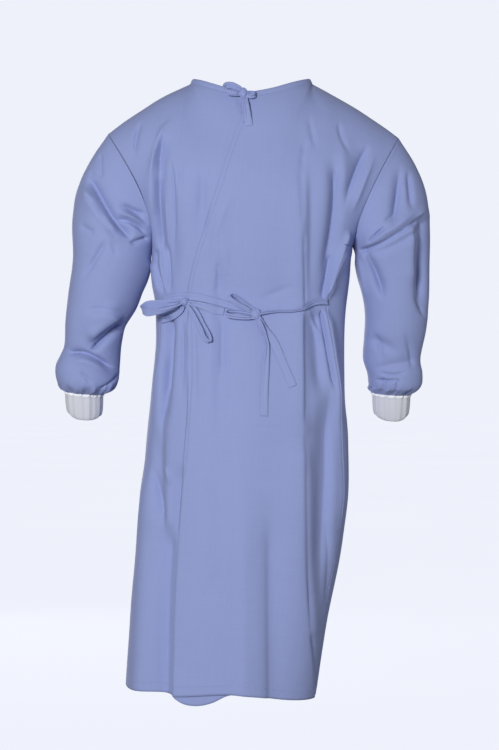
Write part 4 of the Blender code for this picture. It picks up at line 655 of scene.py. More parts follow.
@dataclass
class Cloth:
    """One cut piece as rows of points that run up from its low end, before it has thickness."""

    name: str
    points: np.ndarray
    closed: bool = False
    normals: np.ndarray = field(default_factory=lambda: np.zeros(0))

    def own_normals(self) -> np.ndarray:
        """Returns the outward normal at each point, weighted by area."""
        p = self.points
        if self.closed:
            across = np.roll(p, -1, axis=1) - np.roll(p, 1, axis=1)
        else:
            across = np.gradient(p, axis=1)
        return np.cross(across, np.gradient(p, axis=0))

    def rim(self) -> np.ndarray:
        """Returns which points lie on the piece's edges."""
        mask = np.zeros(self.points.shape[:2], bool)
        mask[[0, -1]] = True
        if not self.closed:
            mask[:, [0, -1]] = True
        return mask

    def from_edge(self, edge: Edge) -> np.ndarray:
        """Returns each point's distance, along the cloth, from one of its edges."""
        axis = 0 if edge in (Edge.LOW, Edge.HIGH) else 1
        p = self.points if edge in (Edge.LOW, Edge.FIRST) else np.flip(self.points, axis)
        steps = np.linalg.norm(np.diff(p, axis=axis), axis=2)
        zero = np.zeros_like(np.take(steps, [0], axis))
        way = np.cumsum(np.concatenate([zero, steps], axis), axis)
        return way if edge in (Edge.LOW, Edge.FIRST) else np.flip(way, axis)

    def line(self, edge: Edge, inset: float) -> tuple[np.ndarray, np.ndarray]:
        """Follows an edge at a distance inside it.

        Args:
            edge: The edge.
            inset: The distance along the cloth.

        Returns:
            The points of the line, and the cloth's normals there.
        """
        way, p, n = self.from_edge(edge), self.points, self.normals
        if edge in (Edge.FIRST, Edge.LAST):
            way, p, n = way.T, p.swapaxes(0, 1), n.swapaxes(0, 1)
        if edge in (Edge.HIGH, Edge.LAST):
            way, p, n = way[::-1], p[::-1], n[::-1]
        after = np.clip((way < inset).sum(axis=0), 1, len(way) - 1)
        each = np.arange(way.shape[1])
        low, high = way[after - 1, each], way[after, each]
        t = ((inset - low) / np.maximum(high - low, 1e-9))[:, None]
        places = p[after - 1, each] * (1 - t) + p[after, each] * t
        return places, unit(n[after - 1, each] * (1 - t) + n[after, each] * t)

    def cut_places(self) -> np.ndarray:
        """Returns each point's flat place on the cut piece, in metres, for the weave."""
        across = np.linalg.norm(np.diff(self.points, axis=1), axis=2)
        u = np.concatenate([np.zeros((len(across), 1)), np.cumsum(across, axis=1)], axis=1)
        u = u - u[:, [u.shape[1] // 2]]
        return np.stack([u, self.from_edge(Edge.LOW)], axis=2)


def match_seams(cloths: list[Cloth]) -> None:
    """Gives every cloth its unit normals, averaged where two pieces are sewn together.

    Args:
        cloths: The pieces; points less than 0.05 mm apart are sewn.
    """
    owns = [cloth.own_normals() for cloth in cloths]
    rims = [cloth.rim() for cloth in cloths]
    places = np.concatenate([cloth.points[rim] for cloth, rim in zip(cloths, rims)])
    normals = np.concatenate([unit(own)[rim] for own, rim in zip(owns, rims)])
    keys = np.round(places / 0.00005 + 0.137).astype(np.int64)
    _, which = np.unique(keys, axis=0, return_inverse=True)
    which = which.reshape(-1)
    sums = np.zeros((which.max() + 1, 3))
    np.add.at(sums, which, normals)
    shared = unit(sums[which])
    start = 0
    for cloth, own, rim in zip(cloths, owns, rims):
        cloth.normals = unit(own)
        count = int(rim.sum())
        cloth.normals[rim] = shared[start : start + count]
        start += count


@dataclass(frozen=True)
class Creases:
    """The folds of the worn cloth, and a slow unevenness between them."""

    folds: tuple[Fold, ...] = MAIN_FOLDS + FINE_FOLDS
    steps: int = 24
    # A narrow crease falls off from a sharper line than a broad fold does
    sharp_width: float = 0.009
    # Folds stand out more towards the back or the front than sideways
    lean: float = 0.9
    sharp_power: float = 1.5
    hem_z: float = -1.203
    reach: float = 3.6
    ripple_height: float = 0.0011
    ripple_lengths: tuple[float, float] = (0.060, 0.190)
    ripples: int = 14
    seed: int = 11

    def path(self, fold: Fold) -> np.ndarray:
        """Returns points along a fold's curve, which passes through its three points."""
        t = np.linspace(0, 1, self.steps + 1)[:, None]
        a, b, c = (np.array(p) for p in ((fold.x0, fold.z0), (fold.x1, fold.z1), (fold.x2, fold.z2)))
        return a * (1 - t) * (1 - 2 * t) + b * 4 * t * (1 - t) + c * t * (2 * t - 1)

    def height(self, points: np.ndarray, normals: np.ndarray, fold: Fold) -> np.ndarray:
        """Works out how far one fold moves each point.

        Args:
            points: The cloth's points, one per row.
            normals: Its normals there.
            fold: The fold.

        Returns:
            The distance along each normal, less than 0 in a trough.
        """
        path = self.path(fold)
        start, run = path[:-1], path[1:] - path[:-1]
        away = points[:, None, [0, 2]] - start[None]
        along = np.clip((away * run).sum(2) / (run * run).sum(1), 0, 1)
        off = away - along[..., None] * run
        distance = np.linalg.norm(off, axis=2)
        nearest = distance.argmin(axis=1)
        each = np.arange(len(points))
        turn = run[nearest, 0] * off[each, nearest, 1] - run[nearest, 1] * off[each, nearest, 0]
        share = (nearest + along[each, nearest]) / self.steps
        width = np.where(turn < 0, fold.left_width, fold.right_width)
        ends = soft_step(share / fold.fade)
        if fold.z2 > self.hem_z:
            ends = ends * soft_step((1 - share) / fold.fade)
        facing = soft_step(0.5 + 1.6 * (normals[:, 1] if fold.front else -normals[:, 1]))
        is_sharp = min(fold.left_width, fold.right_width) < self.sharp_width
        fall = (distance[each, nearest] / width) ** (self.sharp_power if is_sharp else 2.0)
        return fold.height * ends * facing * np.exp(-fall)

    def unevenness(self, points: np.ndarray) -> np.ndarray:
        """Returns a slow seeded rise and fall of the cloth at each point."""
        rng = np.random.default_rng(self.seed)
        total = np.zeros(len(points))
        for _ in range(self.ripples):
            way = rng.normal(size=3) * np.array([1.0, 0.8, 0.45])
            length = rng.uniform(*self.ripple_lengths)
            wave = 2 * np.pi / length * way / np.linalg.norm(way)
            total += np.sin(points @ wave + rng.uniform(0, 2 * np.pi)) * length / self.ripple_lengths[1]
        return total * self.ripple_height / math.sqrt(self.ripples / 2)

    def crease(self, cloth: Cloth) -> None:
        """Moves a cloth's points out and in along their normals by every fold."""
        points, normals = cloth.points.reshape(-1, 3), cloth.normals.reshape(-1, 3)
        moved = self.unevenness(points)[:, None] * normals
        for fold in self.folds:
            path = self.path(fold)
            spread = self.reach * max(fold.left_width, fold.right_width)
            low, high = path.min(axis=0) - spread, path.max(axis=0) + spread
            near = ((points[:, [0, 2]] > low) & (points[:, [0, 2]] < high)).all(axis=1)
            if near.any():
                outwards = np.array([0.0, self.lean if fold.front else -self.lean, 0.0])
                height = self.height(points[near], normals[near], fold)
                moved[near] += height[:, None] * unit(normals[near] + outwards)
        cloth.points = (points + moved).reshape(cloth.points.shape)


@dataclass(frozen=True)
class Body:
    """The front panel and the two back panels, on the general figure that the gown fits."""

    hem_z: float = -1.203
    waist_z: float = -0.440
    squareness: float = 2.3
    armhole_back: float = 0.078
    armhole_front: float = 0.070
    shoulder_crown: float = 0.006
    neck_left_x: float = -0.117
    neck_right_x: float = 0.124
    neck_side_z: float = 0.0
    neck_back_drop: float = 0.037
    neck_front_drop: float = 0.090
    neck_back_y: float = 0.094
    neck_front_y: float = 0.084
    hem_ease_z: float = -0.690
    edge_power: float = 3.0
    armhole_power: float = 9.0
    underarm_ease: float = 0.30
    shape_rise: float = 0.24
    top_ease: float = 0.24
    top_ease_rise: float = 0.35
    chest_swell: float = 0.009
    even_reach: float = 0.018
    even_step: float = 0.001
    even_window: float = 0.060
    spread_row: float = 0.33
    back_counts: tuple[int, ...] = (60, 26, 40, 26, 60)
    back_eases: tuple = (None, "start", None, "end", None)
    front_counts: tuple[int, ...] = (44, 48, 44)
    front_eases: tuple = (None, "both", None)
    front_marks: tuple[float, float] = (132.0, 228.0)
    skirt_rows: int = 150
    waist_rows: int = 46
    upper_rows: int = 84
    lap_gap: float = 0.0030
    tuck_columns: int = 33
    flap_turn: float = 0.0016
    flap_turn_width: float = 0.016

    def size(self, name: str, z: np.ndarray) -> np.ndarray:
        """Returns one of the body's sizes at heights."""
        return read_column(SECTIONS, name, z)

    def across(self, angle: np.ndarray) -> np.ndarray:
        """Returns the share of the half width at an angle around a section, from -1 to 1."""
        s = np.sin(np.radians(angle))
        return np.sign(s) * np.abs(s) ** (2 / self.squareness)

    def outwards(self, angle: np.ndarray) -> np.ndarray:
        """Returns the share of the depth at an angle: 1 at the back, -1 at the front."""
        c = np.cos(np.radians(angle))
        return np.sign(c) * np.abs(c) ** (2 / self.squareness)

    def angle_of(self, share: float) -> float:
        """Returns the angle on the back whose share of the half width is `share`."""
        share = np.clip(share, -1.0, 1.0)
        return float(np.degrees(np.arcsin(np.sign(share) * np.abs(share) ** (self.squareness / 2))))

    def hem_drop(self, x: np.ndarray, layer: Layer) -> np.ndarray:
        """Returns how much higher than the hem's line a layer's hem hangs at each x."""
        return smooth_between(x, [row.x for row in HEMS], [getattr(row, layer.value) for row in HEMS])

    def lower_row(self, z: float, angle: np.ndarray, layer: Layer) -> np.ndarray:
        """Returns points around the body at one height below the arms."""
        middle = (self.size("left", z) + self.size("right", z)) / 2
        half = (self.size("right", z) - self.size("left", z)) / 2
        out = self.outwards(angle)
        depth = np.where(out > 0, self.size("back", z), self.size("front", z))
        x = middle + half * self.across(angle)
        near_hem = soft_step((self.hem_ease_z - z) / (self.hem_ease_z - self.hem_z))
        return np.stack([x, -depth * out, z + self.hem_drop(x, layer) * near_hem], axis=1)

    def rise(self, t: float) -> float:
        """Returns how far up from the underarm to the shoulder a row lies."""
        return float((1 - np.cos(np.pi * t)) / 2)

    def shoulder(self) -> tuple[float, float]:
        """Returns the x midway between the shoulders' ends, and half their distance."""
        left, right = ARMHOLES[Side.LEFT], ARMHOLES[Side.RIGHT]
        return (right.top_x + left.top_x) / 2, (right.top_x - left.top_x) / 2

    def underarm(self) -> tuple[float, float]:
        """Returns the x midway between the underarms, and half their distance."""
        left, right = self.size("left", UNDERARM_Z), self.size("right", UNDERARM_Z)
        return float(left + right) / 2, float(right - left) / 2

    def neck_share(self, x: np.ndarray) -> np.ndarray:
        """Returns where x lies between the neck's two sides: -1 at the left, 1 at the right."""
        middle = (self.neck_right_x + self.neck_left_x) / 2
        return (x - middle) / ((self.neck_right_x - self.neck_left_x) / 2)

    def top_edge(self, share: np.ndarray, is_back: bool) -> tuple[np.ndarray, np.ndarray]:
        """Finds the panels' top edge: the shoulder seams, and between them the neck edge.

        Args:
            share: Places across, from -1 at the left shoulder's end to 1 at the right one's.
            is_back: Whether the panel is a back one.

        Returns:
            The y and the z at each place.
        """
        middle, half = self.shoulder()
        x = middle + half * share
        left, right = ARMHOLES[Side.LEFT], ARMHOLES[Side.RIGHT]
        end_z = np.where(x < 0, left.top_z, right.top_z)
        end_x = np.where(x < 0, left.top_x, right.top_x)
        neck_x = np.where(x < 0, self.neck_left_x, self.neck_right_x)
        along = np.clip((x - neck_x) / (end_x - neck_x), 0, 1)
        shoulder_z = self.neck_side_z + (end_z - self.neck_side_z) * along
        shoulder_z = shoulder_z + self.shoulder_crown * np.sin(np.pi * along)
        w = np.clip(np.abs(self.neck_share(x)), 0, 1)
        round_neck = np.sqrt(1 - w**2)
        if is_back:
            y, drop = -self.neck_back_y * round_neck, self.neck_back_drop * (1 - w**1.35)
        else:
            y, drop = self.neck_front_y * round_neck, self.neck_front_drop * (1 - w**2) ** 0.8
        in_neck = w < 1
        return np.where(in_neck, y, 0.0), np.where(in_neck, self.neck_side_z - drop, shoulder_z)

    def eased_top(self, share: np.ndarray, is_back: bool, ease: float) -> tuple[np.ndarray, np.ndarray]:
        """Finds the top edge with its corners at the neck's sides eased, for rows below it.

        Args:
            share: Places across, from -1 to 1.
            is_back: Whether the panel is a back one.
            ease: How far to each side the edge is evened, as a share; its ends stay as they are.

        Returns:
            The y and the z at each place.
        """
        cells = 400
        reach = round(ease * cells / 2)
        if not reach:
            return self.top_edge(share, is_back)
        grid = np.linspace(-1, 1, cells + 1)
        kernel = np.hanning(2 * reach + 3)[1:-1]
        kernel = kernel / kernel.sum()
        eased = []
        for values in self.top_edge(grid, is_back):
            padded = np.pad(values, reach, mode="reflect", reflect_type="odd")
            eased.append(np.interp(share, grid, np.convolve(padded, kernel, "valid")))
        return eased[0], eased[1]

    def upper_row(self, t: float, marks: tuple, is_back: bool) -> np.ndarray:
        """Finds a row of points above the underarms.

        Args:
            t: The row, from 0 at the underarm to 1 at the top edge.
            marks: The main columns, as angles.
            is_back: Whether the panel is a back one.

        Returns:
            The row's points.
        """
        counts, eases = (
            (self.back_counts, self.back_eases) if is_back else (self.front_counts, self.front_eases)
        )
        angle, f = spaced(marks, counts, (None,) * len(counts)), self.rise(t)
        spread = soft_step(t / self.spread_row)
        even = spaced(tuple(self.across(np.array(marks))), counts, eases)
        share = (1 - spread) * self.across(angle) + spread * even
        low_middle, low_half = self.underarm()
        top_middle, top_half = self.shoulder()
        x = (1 - f) * (low_middle + low_half * share) + f * (top_middle + top_half * share)
        bow = np.where(share < 0, ARMHOLES[Side.LEFT].bow, -ARMHOLES[Side.RIGHT].bow)
        x = x + bow * armhole_bow(f) * np.abs(share) ** 6
        ease = self.top_ease * float(soft_step((1 - f) / self.top_ease_rise))
        top_y, top_z = self.eased_top(share, is_back, ease)
        z = (1 - f) * UNDERARM_Z + f * top_z
        depth = self.size("back" if is_back else "front", UNDERARM_Z)
        depth = depth + self.chest_swell * np.sin(np.pi * min(1.0, 1.3 * f)) ** 2
        at_neck = 1 - soft_step((np.abs(self.neck_share(x)) - 0.7) / 0.6)
        arch = (1 - f**2.4) ** (1 / (2 - 0.75 * at_neck))
        width = np.clip(np.abs(share), 0, 1)
        below = (1 - width**self.squareness) ** (1 / self.squareness)
        risen = float(soft_step(f / self.shape_rise))
        shape = (1 - risen) * below + risen * (1 - width**self.edge_power)
        side = self.armhole_back if is_back else self.armhole_front
        at_armhole = width**self.armhole_power
        turn = np.sin(np.pi * t) * (at_armhole + (1 - at_armhole) * soft_step(t / self.underarm_ease))
        stand = (1 - arch) * np.abs(top_y) + shape * depth * arch + (1 - shape) * side * turn
        if t >= 1:
            stand = np.abs(top_y)
        return np.stack([x, -stand if is_back else stand, z], axis=1)

    def row_places(self) -> list[tuple[float, float | None]]:
        """Returns the rows from the hem up: (z, None) below the arms and (0, t) above."""
        skirt = np.linspace(self.hem_z, self.waist_z - 0.045, self.skirt_rows + 1)[:-1]
        waist = np.linspace(self.waist_z - 0.045, UNDERARM_Z, self.waist_rows + 1)
        rows = [(float(z), None) for z in (*skirt, *waist)]
        return rows + [(0.0, float(t)) for t in np.linspace(0, 1, self.upper_rows + 1)[1:]]

    def main_columns(self, z: float, t: float | None) -> tuple:
        """Returns the back's main columns as angles, from the left seam to the right one."""
        top_middle, top_half = self.shoulder()
        neck = [self.angle_of((x - top_middle) / top_half) for x in (self.neck_left_x, self.neck_right_x)]
        if t is None:
            middle = float(self.size("left", z) + self.size("right", z)) / 2
            half = float(self.size("right", z) - self.size("left", z)) / 2
            seams = [float(read_column(EDGES, name, z)) for name in ("seam_left", "seam_right")]
            f, spot = 0.0, z
        else:
            f = self.rise(t)
            low_middle, low_half = self.underarm()
            middle = (1 - f) * low_middle + f * top_middle
            half = (1 - f) * low_half + f * top_half
            seams = [-90.0, 90.0]
            spot = (1 - f) * UNDERARM_Z + f * (self.neck_side_z - self.neck_back_drop)
        places = [float(read_column(EDGES, name, spot)) for name in ("flap", "under")]
        flap, under = (self.angle_of((x - middle) / half) for x in places)
        left_neck = min((1 - f) * -46.0 + f * neck[0], flap - 4)
        right_neck = max((1 - f) * min(40.0, seams[1] - 12) + f * neck[1], under + 4)
        if t == 1:
            left_neck, right_neck = neck
        return seams[0], left_neck, flap, under, right_neck, seams[1]

    def front_columns(self, z: float, t: float | None) -> tuple:
        """Returns the front's main columns as angles, from the right seam round by the front."""
        marks, top = self.main_columns(z, t), self.main_columns(0.0, 1.0)
        f = 0.0 if t is None else self.rise(t)
        turns = [(1 - f) * low + f * (180 - top[i]) for low, i in zip(self.front_marks, (4, 1))]
        return marks[5], *turns, 360 + marks[0]

    def rows(self, layer: Layer) -> np.ndarray:
        """Returns one layer's grid of points; a back layer goes all the way across."""
        is_back = layer is not Layer.FRONT
        counts = self.back_counts if is_back else self.front_counts
        rows = []
        for z, t in self.row_places():
            marks = self.main_columns(z, t) if is_back else self.front_columns(z, t)
            if t is None:
                rows.append(self.lower_row(z, spaced(marks, counts, (None,) * len(counts)), layer))
            else:
                rows.append(self.upper_row(t, marks, is_back))
        return self.evened(np.stack(rows))

    def evened(self, points: np.ndarray) -> np.ndarray:
        """Evens the columns near the underarm, where the armholes begin; the edges stay."""
        reach = round(3 * self.even_reach / self.even_step)
        ways = np.arange(-reach, reach + 1) * self.even_step
        kernel = np.exp(-0.5 * (ways / self.even_reach) ** 2)
        kernel = kernel / kernel.sum()
        span = self.even_window + 4 * self.even_reach
        grid = np.arange(UNDERARM_Z - span, UNDERARM_Z + span, self.even_step)
        made = points.copy()
        last = points.shape[1] - 1
        for column in range(1, last):
            z = points[:, column, 2]
            inside = 1 - abs(2 * column / last - 1) ** 14
            near = inside * np.exp(-(((z - UNDERARM_Z) / self.even_window) ** 4))
            for way in (0, 1):
                values = points[:, column, way]
                along = np.pad(np.interp(grid, z, values), reach, mode="edge")
                even = np.interp(z, grid, np.convolve(along, kernel, "valid"))
                made[:, column, way] = values + near * (even - values)
        return made

    def cut(self) -> list[Cloth]:
        """Returns the right back panel, the left one and the front one, without folds."""
        flap = sum(self.back_counts[:2])
        under = sum(self.back_counts[:3])
        return [
            Cloth("back_panel_right", self.rows(Layer.OUTER)[:, flap:]),
            Cloth("back_panel_left", self.rows(Layer.UNDER)[:, : under + 1]),
            Cloth("front_panel", self.rows(Layer.FRONT)),
        ]

    def lap(self, right: Cloth, left: Cloth) -> None:
        """Lays the right back panel over the left one, its free edge turned in to rest on it."""
        flap = sum(self.back_counts[:2])
        columns = np.arange(left.points.shape[1])
        tucked = soft_step((columns - flap + self.tuck_columns) / self.tuck_columns)
        left.points = left.points - left.normals * (tucked * self.lap_gap)[None, :, None]
        turned = soft_step(1 - right.from_edge(Edge.FIRST) / self.flap_turn_width)
        right.points = right.points - right.normals * (turned * self.flap_turn)[..., None]


@dataclass(frozen=True)
class Sleeve:
    """One long sleeve, set in at the armhole and gathered into its cuff."""

    side: Side
    around: int = 168
    rings: int = 186
    gathers: int = 10
    gather_depth: float = 0.0045
    small_gathers: tuple[int, int] = (17, 29)
    small_depth: float = 0.0016
    seat_reach: float = 0.035

    def ring(self, place: float) -> np.ndarray:
        """Returns points around the sleeve at a place in its table, from the outside round."""
        table = SLEEVES[self.side]
        places = list(range(len(table)))
        size = {
            name: float(smooth_between(place, places, [getattr(r, name) for r in table]))
            for name in Ring._fields
        }
        turn = 2 * np.pi * np.arange(self.around) / self.around
        up = (1 + np.cos(turn)) / 2
        x = size["inner_x"] + (size["outer_x"] - size["inner_x"]) * up
        z = size["inner_z"] + (size["outer_z"] - size["inner_z"]) * up
        depth = np.where(np.sin(turn) > 0, size["back"], size["front"])
        y = size["middle"] - depth * np.sin(turn)
        towards_body = 1 if self.side is Side.LEFT else -1
        x = x + towards_body * size["bow"] * armhole_bow(up)
        z = z + size["pitch"] * (y - size["middle"])
        gathered = soft_step((place - 9.0) / 1.0) * soft_step((len(table) - 1 - place) / 0.8 + 0.25)
        fine = soft_step((place - 8.6) / 1.6)
        first, second = self.small_gathers
        wave = self.gather_depth * gathered * np.cos(self.gathers * turn)
        wave = wave + self.small_depth * fine * (
            np.cos(first * turn + 0.7 * np.sin(2 * turn)) + 0.7 * np.cos(second * turn + 1.9)
        )
        pucker = 1 + wave / max(size["back"], 0.03)
        centre = np.array([x.mean(), size["middle"]])
        x = centre[0] + (x - centre[0]) * pucker
        y = centre[1] + (y - centre[1]) * pucker
        ring = np.stack([x, y, z], axis=1)
        return ring if self.side is Side.LEFT else ring[np.r_[0, self.around - 1 : 0 : -1]]

    def cut(self) -> Cloth:
        """Returns the sleeve from its cuff end up to the armhole, without folds."""
        last = len(SLEEVES[self.side]) - 1
        rows = [self.ring(float(place)) for place in np.linspace(last, 0, self.rings)]
        return Cloth("sleeve_" + self.side.value, np.stack(rows), closed=True)

    def seat(self, cut: Cloth, back: Cloth, front: Cloth, rows: int) -> None:
        """Draws the sleeve's top onto the armhole that the panels leave for it.

        Args:
            cut: The sleeve.
            back: The back panel on its side.
            front: The front panel.
            rows: The panels' rows above the underarm.
        """
        is_left = self.side is Side.LEFT
        down = back.points[-1 - rows :, 0 if is_left else -1][::-1]
        up = front.points[-1 - rows :, -1 if is_left else 0][1:-1]
        armhole = np.concatenate([down, up])
        if not is_left:
            armhole = armhole[np.r_[0, self.around - 1 : 0 : -1]]
        near = soft_step(1 - cut.from_edge(Edge.HIGH) / self.seat_reach)
        cut.points = cut.points + near[..., None] * (armhole - cut.points[-1])[None]


@dataclass(frozen=True)
class Cuff:
    """One knitted cuff: a tube of rib that carries on from the sleeve's gathered end."""

    side: Side
    around: int = 384
    rows: int = 28
    ribs: int = 64
    rib_height: float = 0.00014
    seam_swell: float = 0.0012

    def cut(self, sleeve: Cloth) -> Cloth:
        """Builds the cuff.

        Args:
            sleeve: The sleeve, with its folds; its first row is its cuff end.

        Returns:
            The cuff's grid, from its low end up.
        """
        end = sleeve.points[0]
        closed = np.vstack([end, end[:1]])
        places = np.linspace(0, len(end), self.around, endpoint=False)
        smooth = np.stack(
            [np.interp(places, np.arange(len(closed)), closed[:, i]) for i in range(3)], axis=1
        )
        kernel = np.hanning(31) / np.hanning(31).sum()
        padded = np.vstack([smooth[-15:], smooth, smooth[:15]])
        even = np.stack([np.convolve(padded[:, i], kernel, "valid") for i in range(3)], axis=1)
        centre = end.mean(axis=0)
        turn = 2 * np.pi * np.arange(self.around) / self.around
        drops = np.array([ring.drop for ring in CUFF_RINGS])
        rows = []
        for drop in np.linspace(drops[-1], 0.0, self.rows):
            width, depth, lift = (
                float(smooth_between(drop, list(drops), [getattr(r, name) for r in CUFF_RINGS]))
                for name in ("width", "depth", "corner_lift")
            )
            base = smooth if drop < 0.002 else even
            p = centre + (base - centre) * np.array([width, depth, 1.0])
            p[:, 2] -= drop - lift * np.abs(np.cos(turn)) ** 3
            p[:, 1] += 0.25 * drop
            out = unit((p - p.mean(axis=0)) * np.array([1.0, 1.0, 0.0]))
            rib = self.rib_height * np.cos(self.ribs * turn) * soft_step((drop - 0.001) / 0.004)
            swell = self.seam_swell * math.exp(-(((drop - 0.003) / 0.0025) ** 2))
            rows.append(p + out * (rib + swell)[:, None])
        return Cloth("cuff_" + self.side.value, np.stack(rows), closed=True)


@dataclass(frozen=True)
class Binding:
    """The strip folded over the neck edge, whose ends run on as the neck ties."""

    width: float = 0.010
    turn: float = 0.45
    # The folded strip's section, from its outer edge over the neck's edge to its inner one: up, out
    section: tuple[tuple[float, float], ...] = (
        (-0.0014, 0.0007), (-0.0008, 0.0012), (0.0010, 0.0014), (0.0030, 0.0016), (0.0055, 0.0017),
        (0.0078, 0.0015), (0.0094, 0.0010), (0.0100, 0.0002), (0.0095, -0.0006), (0.0078, -0.0010),
        (0.0050, -0.0012), (0.0020, -0.0012), (-0.0010, -0.0010),
    )

    def cut(self, body: Body, right: Cloth, left: Cloth, front: Cloth) -> Cloth:
        """Builds the folded strip along the neck edge.

        Args:
            body: The sizes of the neck.
            right: The right back panel.
            left: The left back panel.
            front: The front panel.

        Returns:
            The strip: its rows go over the edge, its columns go round the neck.
        """
        shoulder, mid = body.back_counts[0], body.front_counts
        edge = np.concatenate(
            [
                right.points[-1][:-shoulder],
                front.points[-1][mid[0] + 1 : mid[0] + mid[1] + 1],
                left.points[-1][shoulder + 1 :],
            ]
        )
        centre = np.array([(body.neck_left_x + body.neck_right_x) / 2, 0.0])
        inward = unit(centre - edge[:, :2])
        lift = math.sqrt(1 - self.turn**2)
        up = np.column_stack([inward * self.turn, np.full(len(edge), lift)])
        out = unit(np.cross(np.gradient(edge, axis=0), up))
        rows = [edge + up * a + out * b for a, b in self.section]
        return Cloth("neck_binding", np.stack(rows))


@dataclass(frozen=True)
class TieWork:
    """How the flat ties run: over the cloth behind them, or free as a bow's loops."""

    full_width: float = 0.0145
    thickness: float = 0.0009
    clearance: float = 0.0007
    fine: float = 0.0004
    step: float = 0.0018
    ease: float = 0.004
    edge_relief: float = 0.006
    across: int = 13
    far: float = 9.0
    # A ribbon drawn narrower is pleated so deep that it keeps this share of its width
    pleats: float = 1.5
    kept: float = 0.78
    most_drawn: float = 2.6
    twist: float = 1.2
    pinch_slope: float = 0.009

    def seen_y(self, tree: BVHTree, x: np.ndarray, z: np.ndarray) -> np.ndarray:
        """Returns how near to a viewer behind the gown its shapes come at each x and z."""
        hits = [tree.ray_cast(Vector((a, -2.0, b)), Vector((0, 1, 0)))[0] for a, b in zip(x, z)]
        return np.array([self.far if hit is None else hit.y for hit in hits])

    def envelope(self, values: np.ndarray, reach: int) -> np.ndarray:
        """Returns a smooth line that stays at or below the values."""
        ends = np.pad(values, 2 * reach, mode="edge")
        windows = np.lib.stride_tricks.sliding_window_view(ends, 2 * reach + 1)
        windows = np.lib.stride_tricks.sliding_window_view(windows.min(axis=1), 2 * reach + 1)
        return windows.mean(axis=1)

    def finely(self, rows: tuple, ways: int) -> np.ndarray:
        """Returns the table's columns read closely along the curve through its first columns."""
        table = np.array(rows, float)
        steps = np.linalg.norm(np.diff(table[:, :ways], axis=0), axis=1)
        places = np.concatenate([[0], np.cumsum(steps)])
        at = np.linspace(0, places[-1], round(places[-1] / self.fine) + 1)
        return np.stack([smooth_between(at, places, column) for column in table.T])

    def laid(self, rows: tuple, tree: BVHTree) -> tuple[np.ndarray, np.ndarray]:
        """Lays a ribbon on what is behind it.

        Args:
            rows: Its places.
            tree: What lies behind it.

        Returns:
            The two edge lines of its back face.
        """
        x, z, width, lift = self.finely(rows, 2)
        run = unit(np.gradient(np.stack([x, z], axis=1), axis=0))
        lines = []
        for side in (-0.5, 0.0, 0.5):
            at_x, at_z = x - side * width * run[:, 1], z + side * width * run[:, 0]
            behind = self.seen_y(tree, at_x, at_z)
            behind = np.where(behind == self.far, behind.min() + self.edge_relief, behind)
            y = self.envelope(behind, round(self.ease / self.fine)) - self.clearance - lift
            lines.append(np.stack([at_x, y, at_z], axis=1))
        first, middle, last = lines
        bulge = np.minimum(middle[:, 1] - (first[:, 1] + last[:, 1]) / 2, 0)
        first[:, 1] += bulge
        last[:, 1] += bulge
        return first, last

    def free(self, rows: tuple, tree: BVHTree, knot_y: float) -> tuple[np.ndarray, np.ndarray]:
        """Runs a ribbon free of what is behind it.

        Args:
            rows: Its places.
            tree: What lies behind it.
            knot_y: The y of its knot's middle.

        Returns:
            The two edge lines of its middle face.
        """
        x, out, z, lean, tilt, width = self.finely(rows, 3)
        centre = np.stack([x, knot_y - out, z], axis=1)
        run = unit(np.gradient(centre, axis=0))
        lean, tilt = np.radians(lean), np.radians(tilt)
        flat = np.cos(tilt)
        side = np.stack([np.cos(lean) * flat, -np.sin(tilt), np.sin(lean) * flat], axis=1)
        side = unit(side - run * (side * run).sum(axis=1)[:, None])
        side = side * width[:, None] / 2
        first, last = centre - side, centre + side
        spare = np.full(len(x), self.far)
        for share in np.linspace(0, 1, 5):
            p = first * (1 - share) + last * share
            spare = np.minimum(spare, self.seen_y(tree, p[:, 0], p[:, 2]) - self.clearance - p[:, 1])
        push = self.envelope(np.minimum(spare - self.thickness, 0), round(self.ease / self.fine))
        first[:, 1] += push
        last[:, 1] += push
        return first, last

    def pinched(self, points: np.ndarray, knot: Knot, knot_y: float) -> np.ndarray:
        """Holds a ribbon's points inside the knot where they pass it, and near it close by.

        Args:
            points: The ribbon's points.
            knot: The knot.
            knot_y: The y of its middle.

        Returns:
            The points, none of them in front of the knot.
        """
        away = np.hypot((points[..., 0] - knot.x) / knot.half_x, (points[..., 2] - knot.z) / knot.half_z)
        inside = 0.7 * knot.half_y * np.sqrt(np.clip(1 - away**2, 0, 1))
        nearest = knot_y - inside - self.pinch_slope * np.clip(away - 0.9, 0, None)
        held = points.copy()
        held[..., 1] = np.maximum(points[..., 1], nearest)
        return held

    def ribbon(self, name: str, first: np.ndarray, last: np.ndarray) -> Cloth:
        """Makes the ribbon's cloth between its two edge lines, pleated where it is drawn in.

        Args:
            name: The piece's name.
            first: One edge line.
            last: The other.

        Returns:
            Its rows run along it, its columns go across.
        """
        count = max(3, round(len(first) * self.fine / self.step))
        pick = np.round(np.linspace(0, len(first) - 1, count)).astype(int)
        first, last = first[pick], last[pick]
        width = np.linalg.norm(last - first, axis=1)
        run = unit(np.gradient((first + last) / 2, axis=0))
        out = unit(np.cross(last - first, run))
        if out[:, 1].mean() > 0:
            out = -out
        u = np.linspace(0, 1, self.across)
        drawn = np.clip(self.full_width / width, 1.0, self.most_drawn)
        depth = self.kept * np.sqrt(2 * (drawn**2 - 1)) * width / (2 * np.pi * self.pleats)
        phase = np.linspace(0, self.twist, count)[:, None]
        wave = np.sin(2 * np.pi * self.pleats * u[None, :] + phase) * depth[:, None]
        curl = 0.0006 * (2 * u - 1) ** 4
        middle = first[:, None] * (1 - u)[None, :, None] + last[:, None] * u[None, :, None]
        stand = self.thickness / 2 + depth[:, None] + wave - curl[None, :]
        return Cloth(name, middle + out[:, None] * stand[..., None])


